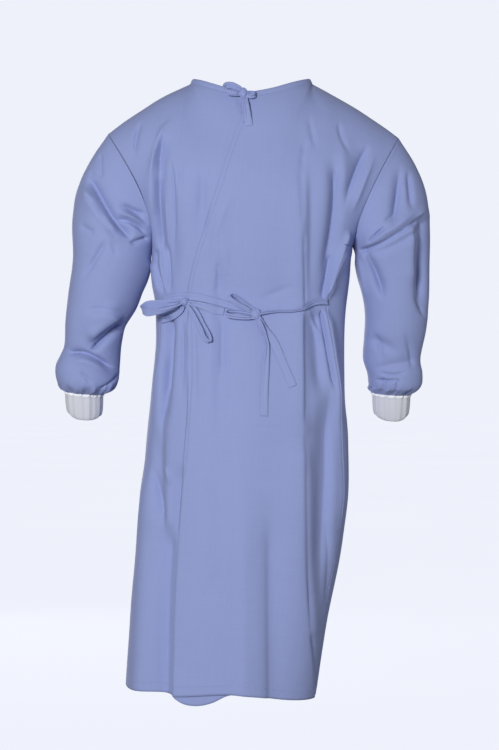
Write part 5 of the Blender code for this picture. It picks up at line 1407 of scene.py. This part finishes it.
@dataclass(frozen=True)
class KnotForm:
    """A knot: cloth wrapped round itself in a few slanting turns."""

    knot: Knot
    slant: float = 0.6
    turns: float = 2.5
    groove: float = 0.17
    rings: int = 28
    around: int = 40

    def cut(self, name: str, knot_y: float) -> Cloth:
        """Returns the knot's closed form as rings round its upright axis."""
        tilts = np.linspace(-np.pi / 2 + 0.04, np.pi / 2 - 0.04, self.rings)[:, None]
        turns = 2 * np.pi * np.arange(self.around)[None, :] / self.around
        flat = np.stack(
            [np.cos(tilts) * np.cos(turns), np.cos(tilts) * np.sin(turns), np.sin(tilts) + 0 * turns],
            axis=2,
        )
        along = flat[..., 2] + self.slant * flat[..., 0]
        wraps = np.abs(np.sin(np.pi * self.turns * (along + 0.15) / 2))
        size = np.array([self.knot.half_x, self.knot.half_y, self.knot.half_z])
        swell = 1 + self.groove * (np.sqrt(wraps) - 0.7) + 0.05 * np.sin(3 * turns + 2 * along)
        middle = np.array([self.knot.x, knot_y, self.knot.z])
        return Cloth(name, middle + flat * swell[..., None] * size, closed=True)


@dataclass(frozen=True)
class Bow:
    """A bow: its knot, and the ties, tails and loops that pass under it or leave it."""

    knot_name: str
    knot: Knot
    ties: tuple[tuple[str, tuple], ...]

    def knot_y(self, work: TieWork, tree: BVHTree) -> float:
        """Returns the y of the knot's middle, where it lies just clear of what is behind it."""
        ways = np.linspace(-0.9, 0.9, 9)
        x, z = (a.ravel() for a in np.meshgrid(ways, ways))
        inside = x * x + z * z < 1
        x, z = x[inside], z[inside]
        depth = self.knot.half_y * np.sqrt(1 - x * x - z * z)
        behind = work.seen_y(tree, self.knot.x + x * self.knot.half_x, self.knot.z + z * self.knot.half_z)
        return float((behind - work.clearance - depth).min())


BOWS = (
    Bow(
        "neck_bow_knot",
        Knot(-0.0118, -0.0330, 0.0078, 0.0070, 0.0105),
        (
            ("neck_bow_tail_under", NECK_TAIL_UNDER),
            ("neck_bow_tail", NECK_TAIL),
            ("neck_bow_loop_left", NECK_LOOP_LEFT),
            ("neck_bow_loop_right", NECK_LOOP_RIGHT),
        ),
    ),
    Bow(
        "middle_bow_knot",
        Knot(0.0126, -0.4645, 0.0085, 0.0066, 0.0105),
        (
            ("waist_tie_left", WAIST_TIE_LEFT),
            ("waist_tie_right", WAIST_TIE_RIGHT),
            ("middle_bow_tail_aslant", MIDDLE_TAIL_ASLANT),
            ("middle_bow_tail_down", MIDDLE_TAIL_DOWN),
            ("middle_bow_loop_low", MIDDLE_LOOP_LOW),
            ("middle_bow_loop_high", MIDDLE_LOOP_HIGH),
        ),
    ),
    Bow(
        "side_bow_knot",
        Knot(-0.1258, -0.4390, 0.0068, 0.0068, 0.0080),
        (
            ("waist_tie_front", WAIST_TIE_FRONT),
            ("side_bow_tail", SIDE_TAIL),
            ("side_bow_loop_low", SIDE_LOOP_LOW),
            ("side_bow_loop_left", SIDE_LOOP_LEFT),
        ),
    ),
)


def to_linear(colour: str) -> tuple[float, float, float, float]:
    """Returns an sRGB hex colour as linear red, green, blue and alpha."""
    values = [int(colour[i : i + 2], 16) / 255 for i in (1, 3, 5)]
    linear = [v / 12.92 if v <= 0.04045 else ((v + 0.055) / 1.055) ** 2.4 for v in values]
    return linear[0], linear[1], linear[2], 1.0


def add_node(tree: bpy.types.NodeTree, kind: str, settings: dict, links: dict) -> bpy.types.Node:
    """Adds a node.

    Args:
        tree: The material's nodes.
        kind: The node's type.
        settings: Its properties by name, and its unlinked sockets by name or number.
        links: The output socket that feeds each of its inputs, by name or number.

    Returns:
        The node.
    """
    node = tree.nodes.new(kind)
    for name, value in settings.items():
        if isinstance(name, str) and hasattr(node, name):
            setattr(node, name, value)
        else:
            node.inputs[name].default_value = value
    for name, socket in links.items():
        tree.links.new(socket, node.inputs[name])
    return node


def thread_scale(millimetres: float) -> float:
    """Returns the wave texture's scale whose bands are that far apart."""
    return 2 * math.pi / (20 * millimetres / 1000)


@dataclass(frozen=True)
class Poplin:
    """Polyester-cotton poplin, plain woven, piece dyed and laundered.

    The eye sees a matt, even blue with faint uneven threads both ways, a soft sheen at grazing
    angles, and small puckers along every row of sewing.
    """

    colour: str = "#8F9BCA"
    deeper: str = "#8B97C7"
    roughness: float = 0.82
    sheen: float = 0.12
    # Real threads are 0.25 mm apart, too fine to show: they are drawn 1.1 mm apart
    thread_mm: float = 1.1
    slub_mm: float = 2.2
    slub_length_mm: float = 70.0
    crumple_mm: float = 26.0
    hem_rise: float = 0.45
    seam_rise: float = 0.35

    def material(self, name: str) -> bpy.types.Material:
        """Returns the cloth's material, which reads the piece's cut, seam and hem layers."""
        material = bpy.data.materials.new(name)
        material.use_nodes = True
        tree = material.node_tree
        shader = tree.nodes["Principled BSDF"]
        shader.inputs["Roughness"].default_value = self.roughness
        shader.inputs["Sheen Weight"].default_value = self.sheen
        shader.inputs["Sheen Roughness"].default_value = 0.5
        shader.inputs["Specular IOR Level"].default_value = 0.25
        cut = add_node(tree, "ShaderNodeUVMap", {"uv_map": "cut"}, {}).outputs["UV"]
        place = add_node(tree, "ShaderNodeTexCoord", {}, {}).outputs["Object"]
        heights = []
        streaks = []
        for direction in ("X", "Y"):
            wave = add_node(
                tree,
                "ShaderNodeTexWave",
                {"bands_direction": direction, "Scale": thread_scale(self.thread_mm), "Distortion": 0.6},
                {"Vector": cut},
            )
            heights.append((wave.outputs["Fac"], 0.020))
            fine, long = 1000 / self.slub_mm, 1000 / self.slub_length_mm
            stretch = (fine, long, 1.0) if direction == "X" else (long, fine, 1.0)
            mapping = add_node(tree, "ShaderNodeMapping", {"Scale": stretch}, {"Vector": cut})
            slub = add_node(
                tree,
                "ShaderNodeTexNoise",
                {"Scale": 1.0, "Detail": 2.0},
                {"Vector": mapping.outputs["Vector"]},
            )
            streaks.append(slub.outputs["Fac"])
            heights.append((slub.outputs["Fac"], 0.03))
        for millimetres, height in ((self.crumple_mm, 0.35), (self.crumple_mm * 3, 1.0)):
            noise = add_node(
                tree,
                "ShaderNodeTexNoise",
                {"Scale": 1000 / millimetres, "Detail": 3.0, "Roughness": 0.45},
                {"Vector": place},
            )
            heights.append((noise.outputs["Fac"], height))
        seam = add_node(tree, "ShaderNodeAttribute", {"attribute_name": "seam"}, {}).outputs["Fac"]
        hem = add_node(tree, "ShaderNodeAttribute", {"attribute_name": "hem"}, {}).outputs["Fac"]
        ranges = (
            (seam, 0.0000, 0.0016, -0.60, 0.0),
            (seam, 0.0070, 0.0086, self.seam_rise, 0.0),
            (hem, 0.985, 1.035, self.hem_rise, 0.0),
            (hem, 0.86, 0.90, 0.0, -0.20),
            (hem, 0.90, 0.94, 0.0, 0.20),
        )
        for source, low, high, start, end in ranges:
            step = add_node(
                tree,
                "ShaderNodeMapRange",
                {
                    "interpolation_type": "SMOOTHSTEP",
                    "From Min": low,
                    "From Max": high,
                    "To Min": start,
                    "To Max": end,
                },
                {"Value": source},
            )
            heights.append((step.outputs["Result"], 1.0))
        pucker = add_node(
            tree, "ShaderNodeTexNoise", {"Scale": 1000 / 7.0, "Detail": 1.0}, {"Vector": place}
        )
        for source, low, high in ((seam, 0.004, 0.016), (hem, 0.8, 1.6)):
            fade = add_node(
                tree,
                "ShaderNodeMapRange",
                {"From Min": low, "From Max": high, "To Min": 0.55, "To Max": 0.0},
                {"Value": source},
            )
            near = add_node(
                tree,
                "ShaderNodeMath",
                {"operation": "MULTIPLY"},
                {0: pucker.outputs["Fac"], 1: fade.outputs["Result"]},
            )
            heights.append((near.outputs["Value"], 1.0))
        total = None
        for socket, amount in heights:
            links = {0: socket} if total is None else {0: socket, 2: total}
            total = add_node(
                tree, "ShaderNodeMath", {"operation": "MULTIPLY_ADD", 1: amount}, links
            ).outputs["Value"]
        bump = add_node(tree, "ShaderNodeBump", {"Distance": 0.001, "Strength": 1.0}, {"Height": total})
        tree.links.new(bump.outputs["Normal"], shader.inputs["Normal"])
        both = add_node(
            tree, "ShaderNodeMath", {"operation": "ADD", "use_clamp": False}, {0: streaks[0], 1: streaks[1]}
        )
        share = add_node(
            tree,
            "ShaderNodeMapRange",
            {"From Min": 0.7, "From Max": 1.3, "To Min": 0.0, "To Max": 1.0},
            {"Value": both.outputs["Value"]},
        )
        mix = add_node(
            tree,
            "ShaderNodeMix",
            {"data_type": "RGBA", 6: to_linear(self.colour), 7: to_linear(self.deeper)},
            {0: share.outputs["Result"]},
        )
        tree.links.new(mix.outputs[2], shader.inputs["Base Color"])
        return material


@dataclass(frozen=True)
class RibKnit:
    """Rib-knitted polyester yarn, undyed.

    The eye sees greyish white ribs with small stitches down them, soft and matt, with a paler
    line where the cuff is sewn to the sleeve, and painted shade in the grooves between the ribs.
    """

    colour: str = "#D6D7DF"
    # Painted shade: the grooves between the ribs are drawn in this darker colour, though the yarn is one
    # colour
    groove: str = "#D0D2DB"
    seam: str = "#F4F5F8"
    roughness: float = 0.9
    # Real stitches are 0.9 mm tall: they are drawn 1.6 mm tall
    stitch_mm: float = 1.6

    def material(self, name: str) -> bpy.types.Material:
        """Returns the knit's material."""
        material = bpy.data.materials.new(name)
        material.use_nodes = True
        tree = material.node_tree
        shader = tree.nodes["Principled BSDF"]
        shader.inputs["Roughness"].default_value = self.roughness
        shader.inputs["Sheen Weight"].default_value = 0.3
        shader.inputs["Specular IOR Level"].default_value = 0.2
        cut = add_node(tree, "ShaderNodeUVMap", {"uv_map": "cut"}, {}).outputs["UV"]
        place = add_node(tree, "ShaderNodeTexCoord", {}, {}).outputs["Object"]
        loops = add_node(
            tree,
            "ShaderNodeTexWave",
            {"bands_direction": "Y", "Scale": thread_scale(self.stitch_mm), "Distortion": 1.5, "Detail": 1.0},
            {"Vector": cut},
        )
        fuzz = add_node(tree, "ShaderNodeTexNoise", {"Scale": 900.0, "Detail": 2.0}, {"Vector": place})
        rib = add_node(tree, "ShaderNodeAttribute", {"attribute_name": "rib"}, {}).outputs["Fac"]
        sewn = add_node(tree, "ShaderNodeAttribute", {"attribute_name": "seam"}, {}).outputs["Fac"]
        height = add_node(
            tree,
            "ShaderNodeMath",
            {"operation": "MULTIPLY_ADD", 1: 0.14},
            {0: loops.outputs["Fac"], 2: fuzz.outputs["Fac"]},
        )
        bump = add_node(
            tree, "ShaderNodeBump", {"Distance": 0.0004, "Strength": 0.7}, {"Height": height.outputs["Value"]}
        )
        tree.links.new(bump.outputs["Normal"], shader.inputs["Normal"])
        # Painted shade: where the rib layer falls to 0, in the grooves, the darker groove colour is mixed in
        ribs = add_node(
            tree,
            "ShaderNodeMix",
            {"data_type": "RGBA", 6: to_linear(self.groove), 7: to_linear(self.colour)},
            {0: rib},
        )
        edge = add_node(
            tree,
            "ShaderNodeMapRange",
            {"From Min": 0.0035, "From Max": 0.0060, "To Min": 1.0, "To Max": 0.0},
            {"Value": sewn},
        )
        mix = add_node(
            tree,
            "ShaderNodeMix",
            {"data_type": "RGBA", 7: to_linear(self.seam)},
            {0: edge.outputs["Result"], 6: ribs.outputs[2]},
        )
        tree.links.new(mix.outputs[2], shader.inputs["Base Color"])
        return material


@dataclass(frozen=True)
class SewingThread:
    """Spun polyester sewing thread, dyed to match.

    The eye sees short, slightly shinier dashes, a little lighter than the cloth.
    """

    colour: str = "#9CA7D4"
    roughness: float = 0.55
    twist_mm: float = 0.5

    def material(self, name: str) -> bpy.types.Material:
        """Returns the thread's material, with its twist as fine bands."""
        material = bpy.data.materials.new(name)
        material.use_nodes = True
        tree = material.node_tree
        shader = tree.nodes["Principled BSDF"]
        shader.inputs["Roughness"].default_value = self.roughness
        place = add_node(tree, "ShaderNodeTexCoord", {}, {}).outputs["Object"]
        twist = add_node(
            tree,
            "ShaderNodeTexWave",
            {"bands_direction": "DIAGONAL", "Scale": thread_scale(self.twist_mm)},
            {"Vector": place},
        )
        bump = add_node(tree, "ShaderNodeBump", {"Distance": 0.0001}, {"Height": twist.outputs["Fac"]})
        tree.links.new(bump.outputs["Normal"], shader.inputs["Normal"])
        shade = add_node(
            tree,
            "ShaderNodeMix",
            {"data_type": "RGBA", 6: to_linear(self.colour), 7: to_linear("#8E9ACA")},
            {0: twist.outputs["Fac"]},
        )
        tree.links.new(shade.outputs[2], shader.inputs["Base Color"])
        return material


def seen_or_lighting(tree: bpy.types.NodeTree, seen: float, lighting: float) -> bpy.types.NodeSocket:
    """Adds a strength that is brighter where it is looked at than as a source of light.

    Args:
        tree: The nodes.
        seen: The strength that a camera sees.
        lighting: The strength that falls on the gown.

    Returns:
        The socket that gives it.
    """
    path = add_node(tree, "ShaderNodeLightPath", {}, {}).outputs["Is Camera Ray"]
    strength = add_node(tree, "ShaderNodeMapRange", {"To Min": lighting, "To Max": seen}, {"Value": path})
    return strength.outputs["Result"]


@dataclass(frozen=True)
class StudioFloor:
    """Matt white painted floor: the eye sees an even, very pale blue-white, as bright as the air."""

    colour: str = "#EFF2FB"
    shaded: str = "#ECEFF9"

    def material(self, name: str, seen: float, lighting: float) -> bpy.types.Material:
        """Returns the floor's material, as bright as it is seen and as it lights the gown."""
        material = bpy.data.materials.new(name)
        material.use_nodes = True
        tree = material.node_tree
        shader = tree.nodes["Principled BSDF"]
        shader.inputs["Roughness"].default_value = 0.95
        shader.inputs["Specular IOR Level"].default_value = 0.0
        shader.inputs["Base Color"].default_value = to_linear("#2A2B2E")
        place = add_node(tree, "ShaderNodeTexCoord", {}, {}).outputs["Object"]
        cloud = add_node(tree, "ShaderNodeTexNoise", {"Scale": 0.6, "Detail": 1.0}, {"Vector": place})
        mix = add_node(
            tree,
            "ShaderNodeMix",
            {"data_type": "RGBA", 6: to_linear(self.colour), 7: to_linear(self.shaded)},
            {0: cloud.outputs["Fac"]},
        )
        tree.links.new(mix.outputs[2], shader.inputs["Emission Color"])
        tree.links.new(seen_or_lighting(tree, seen, lighting), shader.inputs["Emission Strength"])
        return material


@dataclass
class Dresser:
    """Makes objects from the cut pieces and dresses them."""

    cloth: bpy.types.Material
    knit: bpy.types.Material
    thread: bpy.types.Material

    def mesh_object(
        self, cloth: Cloth, layers: dict[str, np.ndarray], capped: bool = False
    ) -> bpy.types.Object:
        """Makes a smooth mesh of a grid.

        Args:
            cloth: The grid.
            layers: Values at each point by name, which materials read.
            capped: Whether its first and last rows are closed.

        Returns:
            The object.
        """
        rows, columns = cloth.points.shape[:2]
        number = np.arange(rows * columns).reshape(rows, columns)
        low, high = number[:-1], number[1:]
        if cloth.closed:
            quads = [low, np.roll(low, -1, 1), np.roll(high, -1, 1), high]
        else:
            quads = [low[:, :-1], low[:, 1:], high[:, 1:], high[:, :-1]]
        faces = np.stack(quads, axis=2).reshape(-1, 4).tolist()
        if capped:
            faces += [number[0, ::-1].tolist(), number[-1].tolist()]
        mesh = bpy.data.meshes.new(cloth.name)
        mesh.from_pydata(cloth.points.reshape(-1, 3).tolist(), [], faces)
        corners = np.zeros(len(mesh.loops), np.int32)
        mesh.loops.foreach_get("vertex_index", corners)
        cut = cloth.cut_places().reshape(-1, 2)
        uv = mesh.uv_layers.new(name="cut")
        uv.data.foreach_set("uv", cut[corners].astype(np.float32).ravel())
        for name, values in layers.items():
            layer = mesh.attributes.new(name, "FLOAT", "POINT")
            layer.data.foreach_set("value", np.ascontiguousarray(values, np.float32).ravel())
        mesh.shade_smooth()
        made = bpy.data.objects.new(cloth.name + "_cloth", mesh)
        bpy.context.scene.collection.objects.link(made)
        return made

    def dress(self, made: bpy.types.Object, node: str, slot: str, thickness: float) -> None:
        """Thickens a piece, gives it its material and has it stand for its solid.

        Args:
            made: The piece.
            node: The solid that it replaces.
            slot: The record's material slot.
            thickness: The cloth's thickness, or 0 where the form is closed already.
        """
        made.data.materials.append(self.knit if slot == "knit" else self.cloth)
        if thickness:
            solid = made.modifiers.new("thickness", "SOLIDIFY")
            solid.thickness = thickness
            solid.offset = 0.0
        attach(made, "root")
        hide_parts(node)


@dataclass(frozen=True)
class Sewing:
    """Rows of machine stitches, as short threads that lie on the cloth."""

    pitch: float = 0.0030
    length: float = 0.0025
    radius: float = 0.00026
    rings: tuple[tuple[float, float], ...] = ((-0.5, 0.35), (-0.3, 1.0), (0.3, 1.0), (0.5, 0.35))
    sides: int = 5

    def row(self, line: np.ndarray, normals: np.ndarray, lift: float) -> tuple[np.ndarray, np.ndarray]:
        """Places one row of stitches.

        Args:
            line: The points that it follows.
            normals: The cloth's normals there.
            lift: How far the threads' middles lie off the cloth's middle.

        Returns:
            The points of its threads, and their faces.
        """
        steps = np.linalg.norm(np.diff(line, axis=0), axis=1)
        way = np.concatenate([[0], np.cumsum(steps)])
        at = np.arange(self.pitch, way[-1] - self.pitch, self.pitch)
        middle = np.stack([np.interp(at, way, line[:, i]) for i in range(3)], axis=1)
        ahead = np.stack([np.interp(at + 0.0004, way, line[:, i]) for i in range(3)], axis=1)
        out = unit(np.stack([np.interp(at, way, normals[:, i]) for i in range(3)], axis=1))
        run = unit(ahead - middle)
        side = unit(np.cross(run, out))
        out = np.cross(side, run)
        turn = 2 * np.pi * np.arange(self.sides) / self.sides
        points = []
        for along, swell in self.rings:
            for angle in turn:
                dip = (1 - swell) * 1.6 * self.radius
                points.append(
                    middle
                    + run * along * self.length
                    + out * (lift - dip + swell * self.radius * math.sin(angle))
                    + side * swell * self.radius * math.cos(angle)
                )
        cloud = np.stack(points, axis=1)
        base = []
        for ring in range(len(self.rings) - 1):
            for j in range(self.sides):
                a, b = ring * self.sides + j, ring * self.sides + (j + 1) % self.sides
                base.append((a, b, b + self.sides, a + self.sides))
        starts = np.arange(len(at))[:, None, None] * cloud.shape[1]
        return cloud.reshape(-1, 3), (np.array(base)[None] + starts).reshape(-1, 4)

    def piece(self, name: str, rows: list, dresser: Dresser) -> bpy.types.Object:
        """Makes one object of several rows of stitches.

        Args:
            name: The object's name.
            rows: For each row its line, normals and lift.
            dresser: The materials.

        Returns:
            The object.
        """
        points, faces, count = [], [], 0
        for line, normals, lift in rows:
            some, theirs = self.row(line, normals, lift)
            points.append(some)
            faces.append(theirs + count)
            count += len(some)
        mesh = bpy.data.meshes.new(name)
        mesh.from_pydata(np.concatenate(points).tolist(), [], np.concatenate(faces).tolist())
        mesh.shade_smooth()
        mesh.materials.append(dresser.thread)
        made = bpy.data.objects.new(name, mesh)
        bpy.context.scene.collection.objects.link(made)
        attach(made, "root")
        return made


@dataclass(frozen=True)
class Gown:
    """The whole gown: cuts every piece, folds it, sews it and dresses it."""

    body: Body = Body()
    creases: Creases = Creases()
    binding: Binding = Binding()
    ties: TieWork = TieWork()
    sewing: Sewing = Sewing()
    cloth_thickness: float = 0.0006
    knit_thickness: float = 0.0016
    hem_width: float = 0.020
    flap_hem_width: float = 0.009

    def pieces(self) -> dict[str, Cloth]:
        """Returns the cut pieces of cloth by name, with their folds."""
        panels = self.body.cut()
        sleeves = []
        for side, back in ((Side.LEFT, panels[1]), (Side.RIGHT, panels[0])):
            sleeve = Sleeve(side)
            sleeves.append(sleeve.cut())
            sleeve.seat(sleeves[-1], back, panels[2], self.body.upper_rows)
        cloths = panels + sleeves
        match_seams(cloths)
        for cloth in cloths:
            self.creases.crease(cloth)
        match_seams(cloths)
        self.body.lap(panels[0], panels[1])
        match_seams(cloths)
        return {cloth.name: cloth for cloth in cloths}

    def layers(self, cloth: Cloth) -> dict[str, np.ndarray]:
        """Returns each point's distance from sewn seams, and its share of the nearest hem."""
        if cloth.closed:
            seam = np.minimum(cloth.from_edge(Edge.LOW), cloth.from_edge(Edge.HIGH))
            return {"seam": seam, "hem": np.full(seam.shape, 9.0)}
        high, low = cloth.from_edge(Edge.HIGH), cloth.from_edge(Edge.LOW)
        first, last = cloth.from_edge(Edge.FIRST), cloth.from_edge(Edge.LAST)
        hem, seam = low / self.hem_width, high
        if cloth.name == "back_panel_right":
            hem, seam = np.minimum(hem, first / self.flap_hem_width), np.minimum(seam, last)
        elif cloth.name == "back_panel_left":
            hem, seam = np.minimum(hem, last / self.flap_hem_width), np.minimum(seam, first)
        else:
            seam = np.minimum(seam, np.minimum(first, last))
        return {"seam": seam, "hem": hem}

    def build_cloth(self, dresser: Dresser) -> dict[str, Cloth]:
        """Builds the panels, sleeves, cuffs and binding, and returns their grids by name."""
        cloths = self.pieces()
        rows = self.stitch_rows(cloths)
        for name, cloth in cloths.items():
            made = dresser.mesh_object(cloth, self.layers(cloth))
            dresser.dress(made, name, "cloth", self.cloth_thickness)
            sewn = self.sewing.piece(name + "_stitches", rows[name], dresser)
            LOG.info("%s: %d points", name, cloth.points[..., 0].size)
        for side in (Side.LEFT, Side.RIGHT):
            cuff = Cuff(side)
            grid = cuff.cut(cloths["sleeve_" + side.value])
            match_seams([grid])
            turn = 2 * np.pi * np.arange(cuff.around) / cuff.around
            # The rib layer is 1 on the ribs' tops and 0 in the grooves; the knit paints shade into the
            # grooves by it
            rib = np.broadcast_to(0.5 + 0.5 * np.cos(cuff.ribs * turn), grid.points.shape[:2])
            made = dresser.mesh_object(grid, {"rib": rib, "seam": grid.from_edge(Edge.HIGH)})
            dresser.dress(made, grid.name, "knit", self.knit_thickness)
            LOG.info("%s: %d ribs", grid.name, cuff.ribs)
        panels = [cloths[name] for name in ("back_panel_right", "back_panel_left", "front_panel")]
        strip = self.binding.cut(self.body, *panels)
        match_seams([strip])
        made = dresser.mesh_object(strip, self.flat_layers(strip))
        dresser.dress(made, strip.name, "cloth", self.cloth_thickness)
        line = strip.points[2]
        out = unit(strip.points[3] - strip.points[10])
        sewn = self.sewing.piece("neck_binding_stitches", [(line, out, 0.0003)], dresser)
        cloths[strip.name] = strip
        LOG.info("neck_binding: %.0f mm round", 1000 * np.linalg.norm(np.diff(line, axis=0), axis=1).sum())
        return cloths

    def flat_layers(self, cloth: Cloth) -> dict[str, np.ndarray]:
        """Returns layers for a piece with no seam or hem of its own."""
        far = np.full(cloth.points.shape[:2], 9.0)
        return {"seam": far, "hem": far}

    def stitch_rows(self, cloths: dict[str, Cloth]) -> dict[str, list]:
        """Returns each piece's rows of stitches, as lines, normals and lifts."""
        lift = self.cloth_thickness / 2 + 0.00008
        hem, flap = 0.88 * self.hem_width, 0.88 * self.flap_hem_width
        insets = {
            "back_panel_right": (
                (Edge.LOW, hem), (Edge.FIRST, flap), (Edge.LAST, 0.0016), (Edge.LAST, 0.0078)
            ),
            "back_panel_left": (
                (Edge.LOW, hem), (Edge.LAST, flap), (Edge.FIRST, 0.0016), (Edge.FIRST, 0.0078)
            ),
            "front_panel": ((Edge.LOW, hem), (Edge.HIGH, 0.0030)),
            "sleeve_left": ((Edge.HIGH, 0.0020), (Edge.HIGH, 0.0080), (Edge.LOW, 0.0020)),
            "sleeve_right": ((Edge.HIGH, 0.0020), (Edge.HIGH, 0.0080), (Edge.LOW, 0.0020)),
        }
        found = {}
        for name, places in insets.items():
            found[name] = [(*cloths[name].line(edge, inset), lift) for edge, inset in places]
        return found

    def build_ties(self, cloths: dict[str, Cloth], dresser: Dresser) -> None:
        """Builds the three bows, each lying on the cloth and on what was tied before it."""
        shapes = list(cloths.values())
        for bow in BOWS:
            knot_y = bow.knot_y(self.ties, tree_of(shapes))
            knot = KnotForm(bow.knot).cut(bow.knot_name, knot_y)
            match_seams([knot])
            tied = dresser.mesh_object(knot, self.flat_layers(knot), capped=True)
            dresser.dress(tied, bow.knot_name, "cloth", 0.0)
            for name, rows in bow.ties:
                tree = tree_of(shapes)
                if isinstance(rows[0], Laid):
                    first, last = self.ties.laid(rows, tree)
                else:
                    first, last = self.ties.free(rows, tree, knot_y)
                ribbon = self.ties.ribbon(name, first, last)
                ribbon.points = self.ties.pinched(ribbon.points, bow.knot, knot_y)
                match_seams([ribbon])
                made = dresser.mesh_object(ribbon, self.flat_layers(ribbon))
                dresser.dress(made, name, "cloth", self.ties.thickness)
                shapes.append(ribbon)


def tree_of(cloths: list[Cloth]) -> BVHTree:
    """Returns one search tree over several pieces."""
    points, faces = [], []
    for cloth in cloths:
        rows, columns = cloth.points.shape[:2]
        number = np.arange(rows * columns).reshape(rows, columns) + len(points)
        quads = [number[:-1, :-1], number[:-1, 1:], number[1:, 1:], number[1:, :-1]]
        faces += np.stack(quads, axis=2).reshape(-1, 4).tolist()
        points += cloth.points.reshape(-1, 3).tolist()
    return BVHTree.FromPolygons(points, faces)


@dataclass(frozen=True)
class Studio:
    """A plain pale floor, soft lights and the camera behind the gown."""

    camera_place: tuple[float, float, float] = (0.0, -4.0, -0.582)
    lens: float = 96.0
    floor_z: float = -1.47
    floor_half: float = 40.0
    air: str = "#EEF1FA"
    air_seen: float = 1.0
    air_lighting: float = 0.19

    def build(self) -> None:
        """Makes the camera, the lights, the world and the floor."""
        scene = bpy.context.scene
        scene.view_settings.view_transform = "Standard"
        camera = bpy.data.cameras.new("studio_camera")
        camera.lens, camera.clip_end = self.lens, 200.0
        holder = bpy.data.objects.new("studio_camera", camera)
        holder.location, holder.rotation_euler = self.camera_place, (math.pi / 2, 0.0, 0.0)
        scene.collection.objects.link(holder)
        scene.camera = holder
        lights = (
            ("key_light", (-1.2, -3.75, 0.05), 1.1, 128.0),
            ("front_light", (-1.0, 3.4, 0.0), 2.0, 88.0),
            ("far_side_light", (3.2, -0.8, -0.4), 2.0, 20.0),
        )
        for name, place, size, power in lights:
            light = bpy.data.lights.new(name, "AREA")
            light.shape, light.size, light.energy = "DISK", size, power
            lamp = bpy.data.objects.new(name, light)
            lamp.location = place
            aim = Vector((0.0, 0.0, -0.6)) - Vector(place)
            lamp.rotation_euler = aim.to_track_quat("-Z", "Y").to_euler()
            scene.collection.objects.link(lamp)
        world = bpy.data.worlds.new("studio_air")
        world.use_nodes = True
        sky = world.node_tree.nodes["Background"]
        sky.inputs["Color"].default_value = to_linear(self.air)
        strength = seen_or_lighting(world.node_tree, self.air_seen, self.air_lighting)
        world.node_tree.links.new(strength, sky.inputs["Strength"])
        scene.world = world
        mesh = bpy.data.meshes.new("studio_floor")
        h, z = self.floor_half, self.floor_z
        mesh.from_pydata([(-h, -h, z), (h, -h, z), (h, h, z), (-h, h, z)], [], [(0, 1, 2, 3)])
        paint = StudioFloor().material("white_painted_floor", self.air_seen, self.air_lighting)
        mesh.materials.append(paint)
        floor = bpy.data.objects.new("studio_floor", mesh)
        scene.collection.objects.link(floor)
        LOG.info("studio: camera, %d lights, floor", len(lights))


def main() -> None:
    """Loads the frame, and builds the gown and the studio."""
    logging.basicConfig(level=logging.INFO, format="%(message)s")
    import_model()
    Studio().build()
    dresser = Dresser(
        cloth=Poplin().material("polyester_cotton_poplin"),
        knit=RibKnit().material("rib_knit_polyester"),
        thread=SewingThread().material("spun_polyester_thread"),
    )
    gown = Gown()
    cloths = gown.build_cloth(dresser)
    gown.build_ties(cloths, dresser)


if __name__ == "__main__":
    main()
